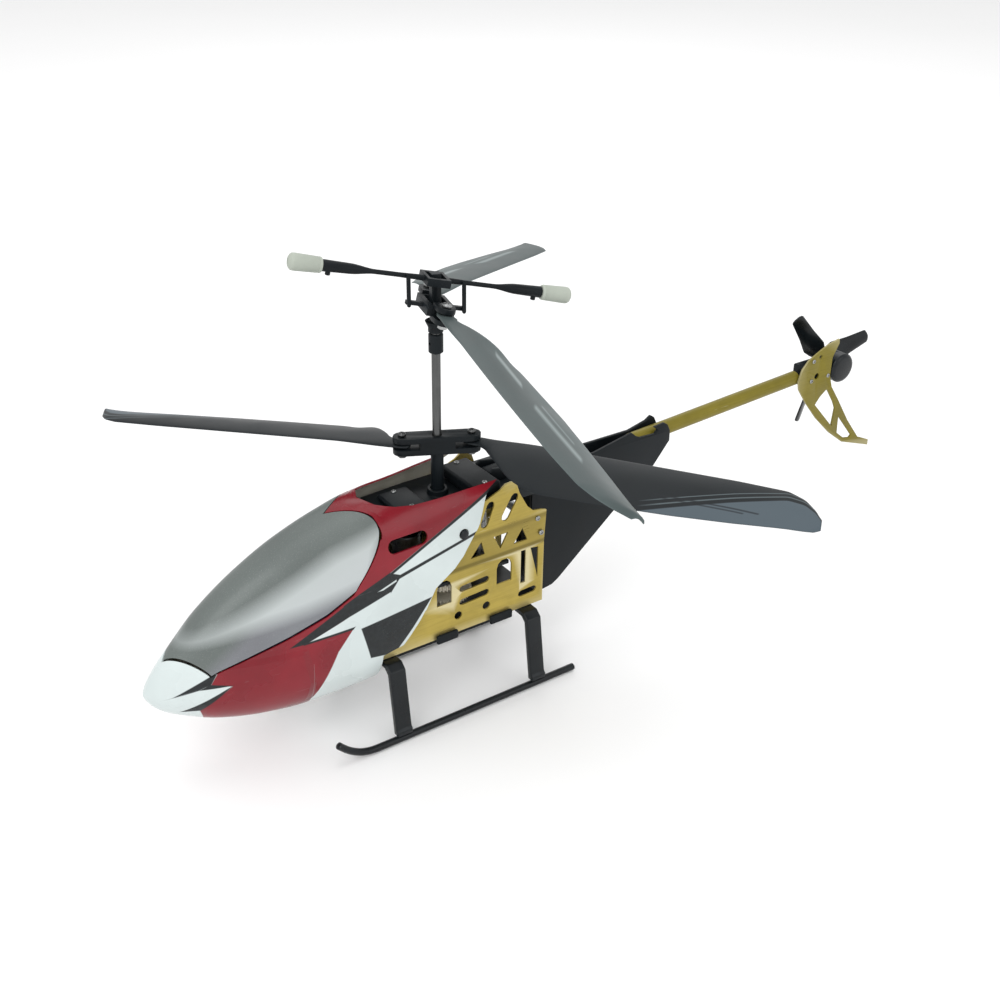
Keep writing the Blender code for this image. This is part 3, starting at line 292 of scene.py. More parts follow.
LINES = [((-94.8, 69.4), (-66.3, 83.0), (-63.7, 76.8), (-86.9, 69.3)),
         ((-66.8, 83.2), (-58.2, 86.8), (-41.4, 93.0), (-41.4, 82.8), (-63.9, 76.7)),
         ((-42.0, 92.8), (-35.5, 89.7), (-42.0, 82.0)),
         ((-44.0, 91.5), (30.0, 125.8), (30.0, 124.1), (-40.5, 91.5)),
         ((-45.5, 88.1), (12.0, 100.8), (12.0, 99.3), (-43.0, 86.7)),
         ((-88.0, 70.0), (-61.4, 70.4), (-62.6, 69.1), (-88.0, 68.9))]
GLINT = [((-48.5, 85.0), (-38.6, 88.2), (-38.6, 87.3), (-46.0, 84.9))]
LABEL = [((-58.6, 68.1), (-19.1, 71.8), (-30.1, 58.0), (-40.0, 46.2), (-53.7, 48.7))]
DART = [((-148.3, 55.9), (-127.4, 66.4), (-131.4, 60.0)),
        ((-148.3, 55.9), (-131.4, 60.4), (-136.8, 58.2)),
        ((-131.8, 60.4), (-121.9, 57.5), (-136.8, 58.2)),
        ((-145.2, 46.6), (-125.6, 55.9), (-121.9, 57.5), (-136.6, 46.0))]
BOX_CREASE = ((-127.0, 68.0), (-87.3, 65.2), (-83.8, 46.0), (-86.0, 22.0), (-133.0, 22.0), (-136.0, 50.0))


def canopy_paint():
    """Glossy painted shell: white, red flank and top with painted shade toward the bottom, black flashes, no
    lettering.
    """
    p = Paint("canopy_paint", rough=0.30, coat=0.12, coat_rough=0.05, specular=0.3)
    cloud = p.noise(35.0, 3.0)
    fine = p.noise(420.0, 2.0)
    white = p.mix(p.span(cloud, 0.3, 0.7), shade(WHITE, 0.95), shade(WHITE, 1.05))
    red = p.mix(p.span(cloud, 0.3, 0.7), shade(RED, 0.8), shade(RED, 1.2))
    z = p.node("ShaderNodeSeparateXYZ")
    p.feed(z.inputs[0], p.place)
    # Painted shade: the red turns darker toward the bottom of the shell, from 70 mm down to 30 mm above the
    # mast foot.
    red_painted_shade_below = p.span(z.outputs["Z"], MAST.z + 0.070, MAST.z + 0.030, 0.0, 0.35)
    red = p.mix(red_painted_shade_below, red, shade(RED, 0.62))
    ink = p.mix(p.span(fine, 0.3, 0.7), INK, shade(INK, 1.9))
    out = p.mix(p.union(*FLANK), white, red)
    out = p.mix(p.union(*TOP), out, red)
    out = p.mix(p.union(*SWOOSH), out, white)
    out = p.mix(p.union(*LINES), out, ink)
    out = p.mix(p.union(*GLINT), out, white)
    out = p.mix(p.union(*LABEL), out, ink)
    out = p.mix(p.union(*DART), out, ink)
    scuff = p.span(p.noise(700.0, 5.0, (1.0, 0.12, 1.0)), 0.66, 0.76, 0.0, 0.06)
    out = p.mix(scuff, out, (0.45, 0.46, 0.46))
    p.color(out)
    p.rough(p.span(cloud, 0.25, 0.75, 0.22, 0.34))
    p.bump(p.polygon(BOX_CREASE, 1.6), 0.0011, 1.0)
    p.bump(fine, 0.00006, 0.12)
    return p.mat


def canopy_inside():
    """Bare inner face of the shell, warm grey and dull."""
    p = Paint("canopy_inside", rough=0.6)
    cloud = p.noise(70.0, 4.0)
    p.color(p.mix(p.span(cloud, 0.3, 0.7), (0.44, 0.42, 0.35), (0.58, 0.56, 0.48)))
    p.rough(p.span(cloud, 0.2, 0.8, 0.5, 0.7))
    p.bump(p.noise(1500.0, 2.0), 0.00004, 0.3)
    return p.mat


def screen_paint():
    """Silver-tinted windscreen with a painted reflection on its lower part and a pale painted highlight band
    along its shoulder.
    """
    p = Paint("screen_paint", metallic=0.1, rough=0.42, coat=0.08, coat_rough=0.06, specular=0.3)
    cloud = p.noise(28.0, 3.0)
    flake = p.noise(3000.0, 1.0)
    grey = p.mix(p.span(cloud, 0.3, 0.7), (0.115, 0.132, 0.126), (0.140, 0.160, 0.152))
    # Painted reflection: the lower, side-facing part of the screen is made a lighter lilac grey than the
    # darker upper part.
    lower = p.polygon(((-140.0, 60.0), (-108.0, 84.5), (-75.0, 96.5), (-45.0, 107.0), (-38.0, 60.0)), 3.0)
    reflected_lilac = p.mix(p.span(cloud, 0.3, 0.7), (0.17, 0.175, 0.19), (0.20, 0.21, 0.225))
    out = p.mix(lower, grey, reflected_lilac)
    # Painted highlight: a pale band along the shoulder stands in for the reflection of the lights on the
    # crease.
    band = p.polygon(((-130.0, 81.0), (-91.4, 97.6), (-67.6, 107.5), (-43.0, 113.5), (-52.0, 91.0),
                      (-82.9, 86.0)), 4.2)
    out = p.mix(p.math("MULTIPLY", band, 0.8), out, (0.55, 0.59, 0.59))
    speck = p.span(flake, 0.6, 0.8, 0.0, 0.25)
    out = p.mix(speck, out, (0.5, 0.52, 0.52))
    p.color(out)
    p.rough(p.span(cloud, 0.25, 0.75, 0.38, 0.48))
    p.bump(p.noise(260.0, 2.0), 0.00008, 0.1)
    return p.mat


def blade_paint(name, rgb, kind):
    """Blade plastic; stripes follow the blade's own length (u, mm/100) and chord (v, mm/100)."""
    p = Paint(name, rough=0.42, coat=0.0, specular=0.2)
    uv = p.node("ShaderNodeUVMap", uv_map="blade")
    sep = p.node("ShaderNodeSeparateXYZ")
    p.feed(sep.inputs[0], uv.outputs[0])
    u = sep.outputs["X"]
    v = sep.outputs["Y"]
    cloud = p.noise(45.0, 4.0)
    base = p.mix(p.span(cloud, 0.3, 0.7), shade(rgb, 0.86), shade(rgb, 1.14))

    def stripe(u0, u1, v0, v1, lean=0.0, soft=0.004):
        """Soft-edged bar; lean slants its ends."""
        x = p.math("MULTIPLY_ADD", v, lean, u)
        a = p.math("MULTIPLY", p.span(x, u0 - soft, u0 + soft), p.span(x, u1 + soft, u1 - soft))
        b = p.math("MULTIPLY", p.span(v, v0 - soft, v0 + soft), p.span(v, v1 + soft, v1 - soft))
        return p.math("MULTIPLY", a, b)

    if kind == "lower":
        edge = p.math("MULTIPLY_ADD", u, 0.36, v)
        base = p.mix(p.span(edge, 0.628, 0.634), base, (0.075, 0.098, 0.115))
        for lo, hi in ((0.600, 0.606), (0.572, 0.576)):
            line = p.math("MULTIPLY", p.span(edge, lo - 0.002, lo), p.span(edge, hi + 0.002, hi))
            line = p.math("MULTIPLY", line, p.span(u, 0.85, 0.95))
            base = p.mix(p.math("MULTIPLY", line, 0.8), base, (0.10, 0.125, 0.135))
        base = p.mix(stripe(1.02, 1.50, 0.205, 0.212, 0.5), base, (0.012, 0.014, 0.017))
        base = p.mix(stripe(1.02, 1.44, 0.222, 0.228, 0.5), base, (0.012, 0.014, 0.017))
    else:
        base = p.mix(p.math("MULTIPLY", p.span(v, 0.10, 0.26), 0.35), base, shade(rgb, 2.0))
        for strip, strength, tint in (((0.70, 1.00, 0.155, 0.185, 2.2, 0.012), 0.55, (0.40, 0.46, 0.46)),
                                      ((1.05, 1.50, 0.12, 0.15, 1.6, 0.012), 0.5, (0.38, 0.44, 0.44)),
                                      ((1.10, 1.42, 0.19, 0.20, 1.6, 0.008), 0.5, (0.38, 0.44, 0.44))):
            base = p.mix(p.math("MULTIPLY", stripe(*strip), strength), base, tint)
    base = p.mix(p.math("MULTIPLY", edge_wear(p), 0.4), base, shade(rgb, 2.2))
    p.color(base)
    p.rough(p.span(cloud, 0.25, 0.75, 0.36, 0.5))
    p.bump(p.noise(2200.0, 2.0), 0.00003, 0.3)
    p.bump(p.noise(140.0, 2.0, (0.3, 1.0, 1.0)), 0.0001, 0.08)
    return p.mat


def gold_plate(name, rgb, rough=0.36, metallic=0.55, fold=False, wear=0.6):
    """Anodised alloy with a lengthwise grain; fold paints shade on the pressed band of the side plates, with
    darker painted shadow lines at its two creases.
    """
    p = Paint(name, metallic=metallic, rough=rough, specular=0.3)
    lines = p.noise(1500.0, 3.0, (1.0, 0.03, 1.0))
    cloud = p.noise(55.0, 4.0)
    base = p.mix(p.span(cloud, 0.3, 0.7), shade(rgb, 0.84), shade(rgb, 1.12))
    base = p.mix(p.span(lines, 0.4, 0.7, 0.0, 0.25), base, shade(rgb, 0.62))
    if wear:
        base = p.mix(p.math("MULTIPLY", edge_wear(p, 0.53, 0.6), wear), base, (0.80, 0.74, 0.50))
    scratch = p.span(p.noise(240.0, 6.0, (1.0, 0.1, 1.6)), 0.68, 0.72, 0.0, 0.35)
    base = p.mix(scratch, base, (0.78, 0.72, 0.5))
    if fold:
        # Painted shade: the pressed band between the folds (z 78.6 to 95.2 mm) is darkened, and its lower and
        # upper creases get darker painted shadow lines.
        far = 200.0
        band = p.polygon(((-far, 78.6), (far, 78.6), (far, 95.2), (-far, 95.2)), 0.5)
        low = p.polygon(((-far, 76.9), (far, 76.9), (far, 79.4), (-far, 79.4)), 0.7)
        high = p.polygon(((-far, 92.6), (far, 92.6), (far, 95.6), (-far, 95.6)), 0.9)
        base = p.mix(p.math("MULTIPLY", band, 0.45), base, shade(rgb, 0.55))
        base = p.mix(p.math("MULTIPLY", low, 0.7), base, shade(rgb, 0.25))
        base = p.mix(p.math("MULTIPLY", high, 0.5), base, shade(rgb, 0.35))
    p.color(base)
    broad = p.span(cloud, 0.3, 0.7, rough - 0.06, rough + 0.08)
    p.rough(p.math("ADD", broad, p.span(lines, 0.3, 0.7, -0.05, 0.05)))
    p.bump(lines, 0.00002, 0.3)
    return p.mat


def wrap_paint():
    """Shrink wrap of the battery with soft folds over its whole surface."""
    p = Paint("battery_wrap_paint", rough=0.3, coat=0.3, coat_rough=0.2)
    folds = p.noise(120.0, 4.0, (1.0, 0.25, 1.0))
    p.color(p.mix(p.span(folds, 0.3, 0.7), (0.035, 0.07, 0.19), (0.07, 0.12, 0.30)))
    p.rough(p.span(folds, 0.3, 0.7, 0.24, 0.4))
    p.bump(folds, 0.0004, 0.4)
    return p.mat


# ------------------------------------------------------------------ mesh helpers, mm about the mast axis
def at(q):
    """Millimetres about the mast axis to the frame's metres."""
    return MAST + Vector((q[0], q[1], q[2])) * MM


def body_of(node):
    """The CAD body that a node rides on."""
    return frame["nodes"][node]["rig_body"]


def finish_piece(obj, mats, node, smooth):
    """Materials, smooth shading, and the piece's place in the frame."""
    obj.data.materials.clear()
    for m in mats if isinstance(mats, (list, tuple)) else [mats]:
        obj.data.materials.append(m)
    obj.data.shade_smooth()
    if smooth:
        obj.data.set_sharp_from_angle(angle=math.radians(smooth))
    names = [node] if isinstance(node, str) else list(node)
    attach(obj, body_of(names[0]))
    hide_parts(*names)
    return obj


def mesh_object(name, verts, faces, weld=0.000002):
    """Object from millimetre points, normals outward."""
    mesh = bpy.data.meshes.new(name)
    mesh.from_pydata([at(v) for v in verts], [], [tuple(f) for f in faces])
    bm = bmesh.new()
    bm.from_mesh(mesh)
    if weld:
        bmesh.ops.remove_doubles(bm, verts=bm.verts, dist=weld)
    bmesh.ops.recalc_face_normals(bm, faces=bm.faces)
    bm.to_mesh(mesh)
    bm.free()
    obj = bpy.data.objects.new(name, mesh)
    bpy.context.scene.collection.objects.link(obj)
    return obj


def bevel(obj, width, angle=32.0, segments=3):
    """Rounded edges, applied to the mesh."""
    mod = obj.modifiers.new("edges", "BEVEL")
    mod.width = width * MM
    mod.segments = segments
    mod.limit_method = "ANGLE"
    mod.angle_limit = math.radians(angle)
    mod.harden_normals = False
    mod.use_clamp_overlap = True
    apply_all(obj)
    return obj


def apply_all(obj):
    """The evaluated mesh becomes the object's own mesh."""
    bpy.context.view_layer.update()
    shaped = obj.evaluated_get(bpy.context.evaluated_depsgraph_get())
    mesh = bpy.data.meshes.new_from_object(shaped)
    obj.modifiers.clear()
    obj.data = mesh


def refined(node, mats, width=0.25, smooth=38.0, angle=32.0, segments=3):
    """A CAD node's own shape, welded, its flat faces joined and its edges rounded."""
    source = frame["nodes"][node]
    bm = bmesh.new()
    bm.from_mesh(source.data)
    bmesh.ops.remove_doubles(bm, verts=bm.verts, dist=0.000003)
    bmesh.ops.dissolve_limit(bm, angle_limit=math.radians(0.8), verts=bm.verts, edges=bm.edges)
    bmesh.ops.recalc_face_normals(bm, faces=bm.faces)
    mesh = bpy.data.meshes.new(node + "_fine")
    bm.to_mesh(mesh)
    bm.free()
    obj = bpy.data.objects.new(node + "_fine", mesh)
    bpy.context.scene.collection.objects.link(obj)
    if width:
        bevel(obj, width, angle, segments)
    return finish_piece(obj, mats, node, smooth)


def cut(obj, tools, operation="DIFFERENCE"):
    """Exact boolean with plain closed geometry."""
    for verts, faces in tools:
        tool = mesh_object("cutter", verts, faces)
        mod = obj.modifiers.new("cut", "BOOLEAN")
        mod.object = tool
        mod.operation = operation
        mod.solver = "EXACT"
        apply_all(obj)
        bpy.data.objects.remove(tool, do_unlink=True)
    return obj


def axes_of(direction):
    """Two unit vectors across a direction."""
    d = Vector(direction).normalized()
    ref = Vector((0, 0, 1)) if abs(d.z) < 0.9 else Vector((0, 1, 0))
    u = ref.cross(d).normalized()
    return d, u, d.cross(u)


def lathe(a, direction, profile, n=48):
    """Revolve (along, radius) pairs about an axis; a radius of 0 closes the end."""
    d, u, v = axes_of(direction)
    a = Vector(a)
    verts = []
    rows = []
    for s, r in profile:
        row = []
        for i in range(n if r > 0 else 1):
            t = 2 * math.pi * i / n
            row.append(len(verts))
            verts.append(a + d * s + u * (r * math.cos(t)) + v * (r * math.sin(t)))
        rows.append(row)
    faces = []
    for p, q in zip(rows, rows[1:]):
        for i in range(n):
            j = (i + 1) % n
            if len(p) == 1 and len(q) > 1:
                faces.append((p[0], q[j], q[i]))
            elif len(q) == 1 and len(p) > 1:
                faces.append((p[i], p[j], q[0]))
            elif len(p) > 1:
                faces.append((p[i], p[j], q[j], q[i]))
    return verts, faces


def ring_lathe(a, direction, profile, n=48):
    """Revolve a closed profile that never meets the axis."""
    return lathe(a, direction, list(profile) + [profile[0]], n)


def round_profile(length, r, edge, steps=4):
    """Solid bar profile with rounded ends."""
    out = [(0.0, 0.0)]
    for k in range(steps + 1):
        t = math.pi / 2 * k / steps
        out.append((edge * (1 - math.cos(t)) if k else 0.0, r - edge + edge * math.sin(t)))
    for k in range(steps + 1):
        t = math.pi / 2 * k / steps
        out.append((length - edge + edge * math.sin(t), r - edge + edge * math.cos(t)))
    out.append((length, 0.0))
    return out


def skin(rings, ends=True):
    """Faces over equal rings."""
    n = len(rings[0])
    verts = [q for ring in rings for q in ring]
    faces = []
    for k in range(len(rings) - 1):
        for i in range(n):
            j = (i + 1) % n
            faces.append((k * n + i, k * n + j, (k + 1) * n + j, (k + 1) * n + i))
    if ends:
        faces.append(tuple(reversed(range(n))))
        faces.append(tuple((len(rings) - 1) * n + i for i in range(n)))
    return verts, faces


def join(*geos):
    """Several bodies as one list."""
    verts, faces = [], []
    for v, f in geos:
        base = len(verts)
        verts += list(v)
        faces += [tuple(i + base for i in face) for face in f]
    return verts, faces


def moved(geo, matrix):
    """Geometry through a matrix in millimetres."""
    return [matrix @ Vector(v) for v in geo[0]], geo[1]


def slab(outline, lo, hi, axis):
    """Convex outline given thickness along x (axis 0) or z (axis 2)."""
    def put(u, v, w):
        return (w, u, v) if axis == 0 else (u, v, w)
    return skin([[put(u, v, lo) for u, v in outline], [put(u, v, hi) for u, v in outline]])


def box_geo(x0, x1, y0, y1, z0, z1):
    """Plain box, used to cut or to join."""
    return slab([(x0, y0), (x1, y0), (x1, y1), (x0, y1)], z0, z1, 2)


def spin_z(degrees):
    return Matrix.Rotation(math.radians(degrees), 4, "Z")


def tilt_about(z, degrees):
    """Rotation about the head's x axis at height z."""
    move = Matrix.Translation((0, 0, z))
    return move @ Matrix.Rotation(math.radians(degrees), 4, "X") @ move.inverted()


# ------------------------------------------------------------------ canopy surface, as in the CAD
CANOPY = ((-158.0, 0.6, 56.1, 55.5, 54.9, 2.0, 2.0),
          (-155.5, 4.6, 60.3, 55.0, 50.2, 2.0, 2.0),
          (-151.0, 7.9, 66.2, 54.5, 45.3, 2.0, 2.0),
          (-142.0, 12.0, 75.5, 54.5, 39.6, 2.0, 2.0),
          (-127.0, 16.8, 89.8, 55.0, 32.6, 2.05, 2.1),
          (-105.0, 21.0, 104.2, 57.0, 26.8, 2.15, 2.2),
          (-85.0, 23.2, 113.5, 59.0, 24.5, 2.3, 2.3),
          (-64.0, 24.3, 120.0, 62.0, 24.5, 2.5, 2.4),
          (-45.0, 24.6, 123.6, 65.0, 26.0, 2.8, 2.6),
          (-20.0, 24.4, 124.5, 68.0, 29.0, 3.4, 2.8),
          (0.0, 24.0, 124.5, 70.0, 32.0, 4.6, 3.0),
          (24.0, 23.6, 124.5, 72.0, 35.0, 6.5, 3.0))
RIM = ((-158.5, 0.0), (-44.0, 0.0), (-43.0, 9.0), (-40.0, 16.0), (-33.0, 24.0), (-24.0, 29.0),
       (-10.0, 31.0), (24.0, 31.0))
BELT = ((-158.5, 88.0), (-132.0, 74.0), (-127.0, 73.0), (-112.0, 73.5), (-95.0, 74.0), (-75.0, 73.5),
        (-58.0, 70.0), (-20.0, 79.0), (24.0, 84.0))
ROWS = np.array(CANOPY)


def smooth_columns(table):
    """Monotone tangents for each column, so that sections flow into each other."""
    x = table[:, 0]
    h = np.diff(x)
    out = []
    for c in range(1, table.shape[1]):
        slope = np.diff(table[:, c]) / h
        m = np.empty(len(x))
        m[0], m[-1] = slope[0], slope[-1]
        for i in range(1, len(x) - 1):
            a, b = slope[i - 1], slope[i]
            m[i] = 0.0 if a * b <= 0 else 2 * a * b / (a + b)
        out.append(m)
    return np.array(out).T


TANGENTS = smooth_columns(ROWS)


def canopy_row(y):
    """Section values at y by cubic interpolation."""
    y = min(max(y, ROWS[0, 0]), ROWS[-1, 0])
    i = min(int(np.searchsorted(ROWS[:, 0], y, side="right")) - 1, len(ROWS) - 2)
    h = ROWS[i + 1, 0] - ROWS[i, 0]
    t = (y - ROWS[i, 0]) / h
    a = 2 * t ** 3 - 3 * t ** 2 + 1
    b = t ** 3 - 2 * t ** 2 + t
    return (ROWS[i, 1:] * a + TANGENTS[i] * h * b + ROWS[i + 1, 1:] * (1 - a)
            + TANGENTS[i + 1] * h * (t ** 3 - t ** 2))


def canopy_point(y, angle, sign=1):
    """Point on the outer surface; angle 0 is the top, 90 the side, 180 the bottom."""
    w, zt, zc, zb, nu, nl = canopy_row(y)
    t = math.radians(angle)
    s = abs(math.sin(t))
    c = math.cos(t)
    n = nu if c >= 0 else nl
    h = (zt - zc) if c >= 0 else (zb - zc)
    return (sign * w * s ** (2 / n), y, zc + h * abs(c) ** (2 / n))


def table_at(table, y):
    return float(np.interp(y, [q[0] for q in table], [q[1] for q in table]))


def key_row(k, v):
    """y of key row k at v: 0 rim or top, 1 belt, 2 bottom."""
    top = (-158.0, -147.5, -62.0, 23.0)[k]
    mid = (-158.0, -131.0, -61.0, 3.8)[k]
    low = (-158.0, -134.0, -62.0, -40.0)[k]
    if v <= 1.0:
        y = top + (mid - top) * v
        if k == 1:
            y -= 1.5 * math.sin(math.pi * v)
        if k == 2:
            y += 19.0 * math.sin(math.pi * v) ** 0.8
        if k == 3:
            y = float(np.interp(v, (0.0, 0.1, 0.37, 0.67, 0.88, 1.0), (23.0, 20.0, 14.1, 11.3, 9.0, 3.8)))
        return y
    if k == 3:
        return float(np.interp(v - 1, (0.0, 0.04, 0.064, 0.09, 0.13, 0.216, 0.325, 0.36, 1.0),
                               (3.8, -0.3, -5.6, -16.8, -23.2, -29.0, -35.2, -46.5, -47.5)))
    return mid + (low - mid) * (v - 1)


def canopy_uv(u, v, sign=1):
    """Surface point from row coordinate u 0..3 and girth v 0..2."""
    k = min(int(u), 2)
    t = u - k
    y = key_row(k, v) * (1 - t) + key_row(k + 1, v) * t
    rim = table_at(RIM, y)
    belt = table_at(BELT, y)
    angle = rim + (belt - rim) * v if v <= 1.0 else belt + (180.0 - belt) * (v - 1)
    return canopy_point(y, angle, sign)


def shell_from(points, faces, thickness):
    """Open surface (both halves) to a closed shell; inner faces get the second material."""
    bm = bmesh.new()
    vs = [bm.verts.new(at(q)) for q in points]
    for f in faces:
        loop = [vs[i] for n, i in enumerate(f) if i != f[n - 1]]
        if len(set(loop)) > 2:
            try:
                bm.faces.new(loop)
            except ValueError:
                continue
    bmesh.ops.remove_doubles(bm, verts=bm.verts, dist=0.00001)
    bmesh.ops.recalc_face_normals(bm, faces=bm.faces)
    middle = at((0, 0, 62))
    total = sum(f.normal.dot(f.calc_center_median() - Vector((middle.x, f.calc_center_median().y, middle.z)))
                for f in bm.faces)
    if total < 0:
        bmesh.ops.reverse_faces(bm, faces=bm.faces)
    bm.normal_update()
    outer = list(bm.faces)
    inner_of = {v: bm.verts.new(v.co - v.normal * thickness * MM) for v in list(bm.verts)}
    rim = [e for e in bm.edges if len(e.link_faces) == 1]
    loops = [(e.verts[0], e.verts[1]) for e in rim]
    for f in outer:
        g = bm.faces.new([inner_of[v] for v in reversed(f.verts)])
        g.material_index = 1
    for a, b in loops:
        bm.faces.new((a, b, inner_of[b], inner_of[a]))
    bmesh.ops.recalc_face_normals(bm, faces=bm.faces)
    return bm


def canopy_grid(rows, cols, skip, close_nose):
    """Points and faces of both halves over a grid of u rows and v columns."""
    points = []
    faces = []
    for s in (1, -1):
        base = len(points)
        for u in rows:
            for v in cols:
                q = canopy_uv(u, v, s)
                if v >= 2.0 or abs(q[0]) < 0.02:
                    q = (0.0, q[1], q[2])
                points.append(q)
        n = len(cols)
        for i in range(len(rows) - 1):
            for j in range(n - 1):
                if skip and 1.0 - 1e-6 <= rows[i] < 2.0 - 1e-6 and cols[j] < 1.0 - 1e-6:
                    continue
                a = base + i * n + j
                faces.append((a, a + 1, a + n + 1, a + n))
        if close_nose:
            tip = len(points)
            points.append((0.0, -158.0, 55.5))
            for j in range(n - 1):
                faces.append((tip, base + j + 1, base + j))
    return points, faces


def build_canopy(paint, inside, screen):
    """Painted shell with vents and grommets, and the windscreen in its opening."""
    rows = sorted(set([0.03, 0.07, 0.12, 0.2] + [round(0.05 * k, 4) for k in range(6, 61)]))
    cols = sorted(set([round(k / 20, 4) for k in range(21)] + [round(1 + k / 24, 4) for k in range(25)]
                      + [1.02, 1.05, 1.064, 1.09, 1.13, 1.2, 1.325, 1.34, 1.36]))
    bm = shell_from(*canopy_grid(rows, cols, True, True), CANOPY_T)
    mesh = bpy.data.meshes.new("canopy")
    bm.to_mesh(mesh)
    bm.free()
    shell = bpy.data.objects.new("canopy", mesh)
    bpy.context.scene.collection.objects.link(shell)
    for m in (paint, inside):
        mesh.materials.append(m)
    tools = []
    for s in (1, -1):
        tools.append(lathe((POST_X * s, 0, POST_Z), (s, 0, 0), [(0, 0), (0, 2.7), (20, 2.7), (20, 0)], 32))
        oval = []
        for k in range(32):
            t = 2 * math.pi * k / 32
            u = 7.0 * (1 if math.cos(t) > 0 else -1) + 3.5 * math.cos(t)
            w = 3.5 * math.sin(t)
            oval.append((-30.5 + u - 0.05 * w, 105.0 + 0.05 * u + w))
        tools.append(slab(oval, *sorted((14.0 * s, 32.0 * s)), 0))
    cut(shell, tools)
    shell.data.shade_smooth()
    shell.data.set_sharp_from_angle(angle=math.radians(40))
    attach(shell, "airframe")
    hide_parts("canopy_shell")
    e = 0.012
    rows = [1 + e + (1 - 2 * e) * k / 40 for k in range(41)]
    cols = [(1 - 0.02) * k / 32 for k in range(33)]
    bm = shell_from(*canopy_grid(rows, cols, False, False), CANOPY_T)
    mesh = bpy.data.meshes.new("windscreen_fine")
    bm.to_mesh(mesh)
    bm.free()
    glass = bpy.data.objects.new("windscreen_fine", mesh)
    bpy.context.scene.collection.objects.link(glass)
    finish_piece(glass, [screen, inside], "windscreen", 50)


# ------------------------------------------------------------------ blades
def blade_piece(name, node, length, lead_sign, bend, pitch, fill, put, mat, hole):
    """Fine blade: rounded nose, thin tail, flat eye at the root."""
    t = BLADE_T
    rows = np.array([(-4.0, 1.4, 1.4), (-3.0, 2.9, 2.9), (0.0, 4.0, 4.0), (5.0, 4.0, 4.4), (9.0, 4.0, 7.0),
                     (15.0, 4.2, 15.0), (24.0, LEAD, 24.0), (38.0, LEAD, TRAIL), (70.0, LEAD, TRAIL - 0.8),
                     (100.0, LEAD, TRAIL - 2.2), (128.0, LEAD, TRAIL - 4.6),
                     (length - 16.0, LEAD - 1.0, TRAIL_TIP), (length - 8.0, LEAD - 5.0, TRAIL_TIP - 0.4),
                     (length - 3.0, LEAD - 11.0, TRAIL_TIP - 1.0), (length, LEAD - 17.0, TRAIL_TIP - 3.0)])
    stations = np.concatenate([np.linspace(-4.0, 10.0, 16), np.linspace(11.5, length - 18, 70),
                               np.linspace(length - 16.5, length, 20)])
    kernel = np.array([1.0, 2.0, 3.0, 2.0, 1.0]) / 9.0

    def column(c):
        """Outline column through the stations, its corners eased."""
        raw = np.interp(stations, rows[:, 0], rows[:, c])
        eased = np.convolve(np.pad(raw, 2, mode="edge"), kernel, mode="valid")
        keep = (stations < 4.0) | (stations > length - 4.0)
        return np.where(keep, raw, eased)

    lead = column(1)
    trail = column(2)
    m = 15
    rings = []
    charts = []
    for s, a, b in zip(stations, lead, trail):
        if s > 5.0:
            b = b * (1.0 - (1.0 - fill) * max(1.0 - s / 80.0, 0.0))
        grow = min(max((s - 5.0) / 30.0, 0.0), 1.0)
        grow = grow * grow * (3 - 2 * grow)
        angle = math.radians(pitch) * grow
        along = max(s - 4.5, 0.0) / (length - 4.5)
        lift = bend[0] * along ** 2 + bend[1] * along
        span = a + b
        ring = []
        chart = []
        for k in range(2 * m):
            top = k < m
            x = (1 - math.cos(math.pi * (k % m) / (m - 1))) / 2
            x = x if top else 1 - x
            c = a - span * x
            camber = 1.6 * grow * math.sin(math.pi * x ** 0.8)
            thick = (t / 2 + 0.35 * (1 - grow)) * math.sin(math.pi * min(max(x, 0.0), 1.0)) ** 0.35
            thick = max(thick, 0.12)
            h = camber + (thick if top else -thick)
            y = lead_sign * (c * math.cos(angle) - h * math.sin(angle))
            z = c * math.sin(angle) + h * math.cos(angle)
            ring.append((s, y, z + lift))
            chart.append((s / 100.0, (a - c) / 100.0))
        rings.append(ring)
        charts.append(chart)
    geo = moved(skin(rings), put)
    mesh = bpy.data.meshes.new(name)
    mesh.from_pydata([at(v) for v in geo[0]], [], geo[1])
    chart = [c for row in charts for c in row]
    layer = mesh.uv_layers.new(name="blade")
    for loop in mesh.loops:
        layer.data[loop.index].uv = chart[loop.vertex_index]
    bm = bmesh.new()
    bm.from_mesh(mesh)
    bmesh.ops.recalc_face_normals(bm, faces=bm.faces)
    bm.to_mesh(mesh)
    bm.free()
    obj = bpy.data.objects.new(name, mesh)
    bpy.context.scene.collection.objects.link(obj)
    cut(obj, [hole])
    return finish_piece(obj, mat, node, 50)


def pan_screw(centre, axis, z0, z1, head, n=32):
    """Screw with a domed, cross-slotted head, its thread and a hexagon nut below."""
    d, u, v = axes_of(axis)
    base = Vector(centre) + d * z0
    length = z1 - z0
    profile = [(0, 0), (0, 0.9), (0.2, 1.15)]
    k = 0.4
    while k < length - 0.5:
        profile += [(k, 1.15), (k + 0.22, 0.98)]
        k += 0.45
    profile += [(length, 1.0), (length, head - 0.1), (length + 0.15, head), (length + 0.8, head)]
    for i in range(1, 5):
        t = math.pi / 2 * i / 5
        profile.append((length + 0.8 + 0.8 * math.sin(t), head * math.cos(t) ** 0.7))
    profile.append((length + 1.6, 0))
    body = lathe(base, d, profile, n)
    nut = []
    for s in (0.0, 1.5):
        nut.append([base + d * s + u * 2.2 * math.cos(math.pi * i / 3) + v * 2.2 * math.sin(math.pi * i / 3)
                    for i in range(6)])
    slots = []
    for a, b in ((u, v), (v, u)):
        ring = []
        for s in (length + 0.9, length + 3.0):
            c = base + d * s
            ring.append([c + a * 1.3 + b * 0.25, c - a * 1.3 + b * 0.25, c - a * 1.3 - b * 0.25,
                         c + a * 1.3 - b * 0.25])
        slots.append(skin(ring))
    return body, skin(nut), slots


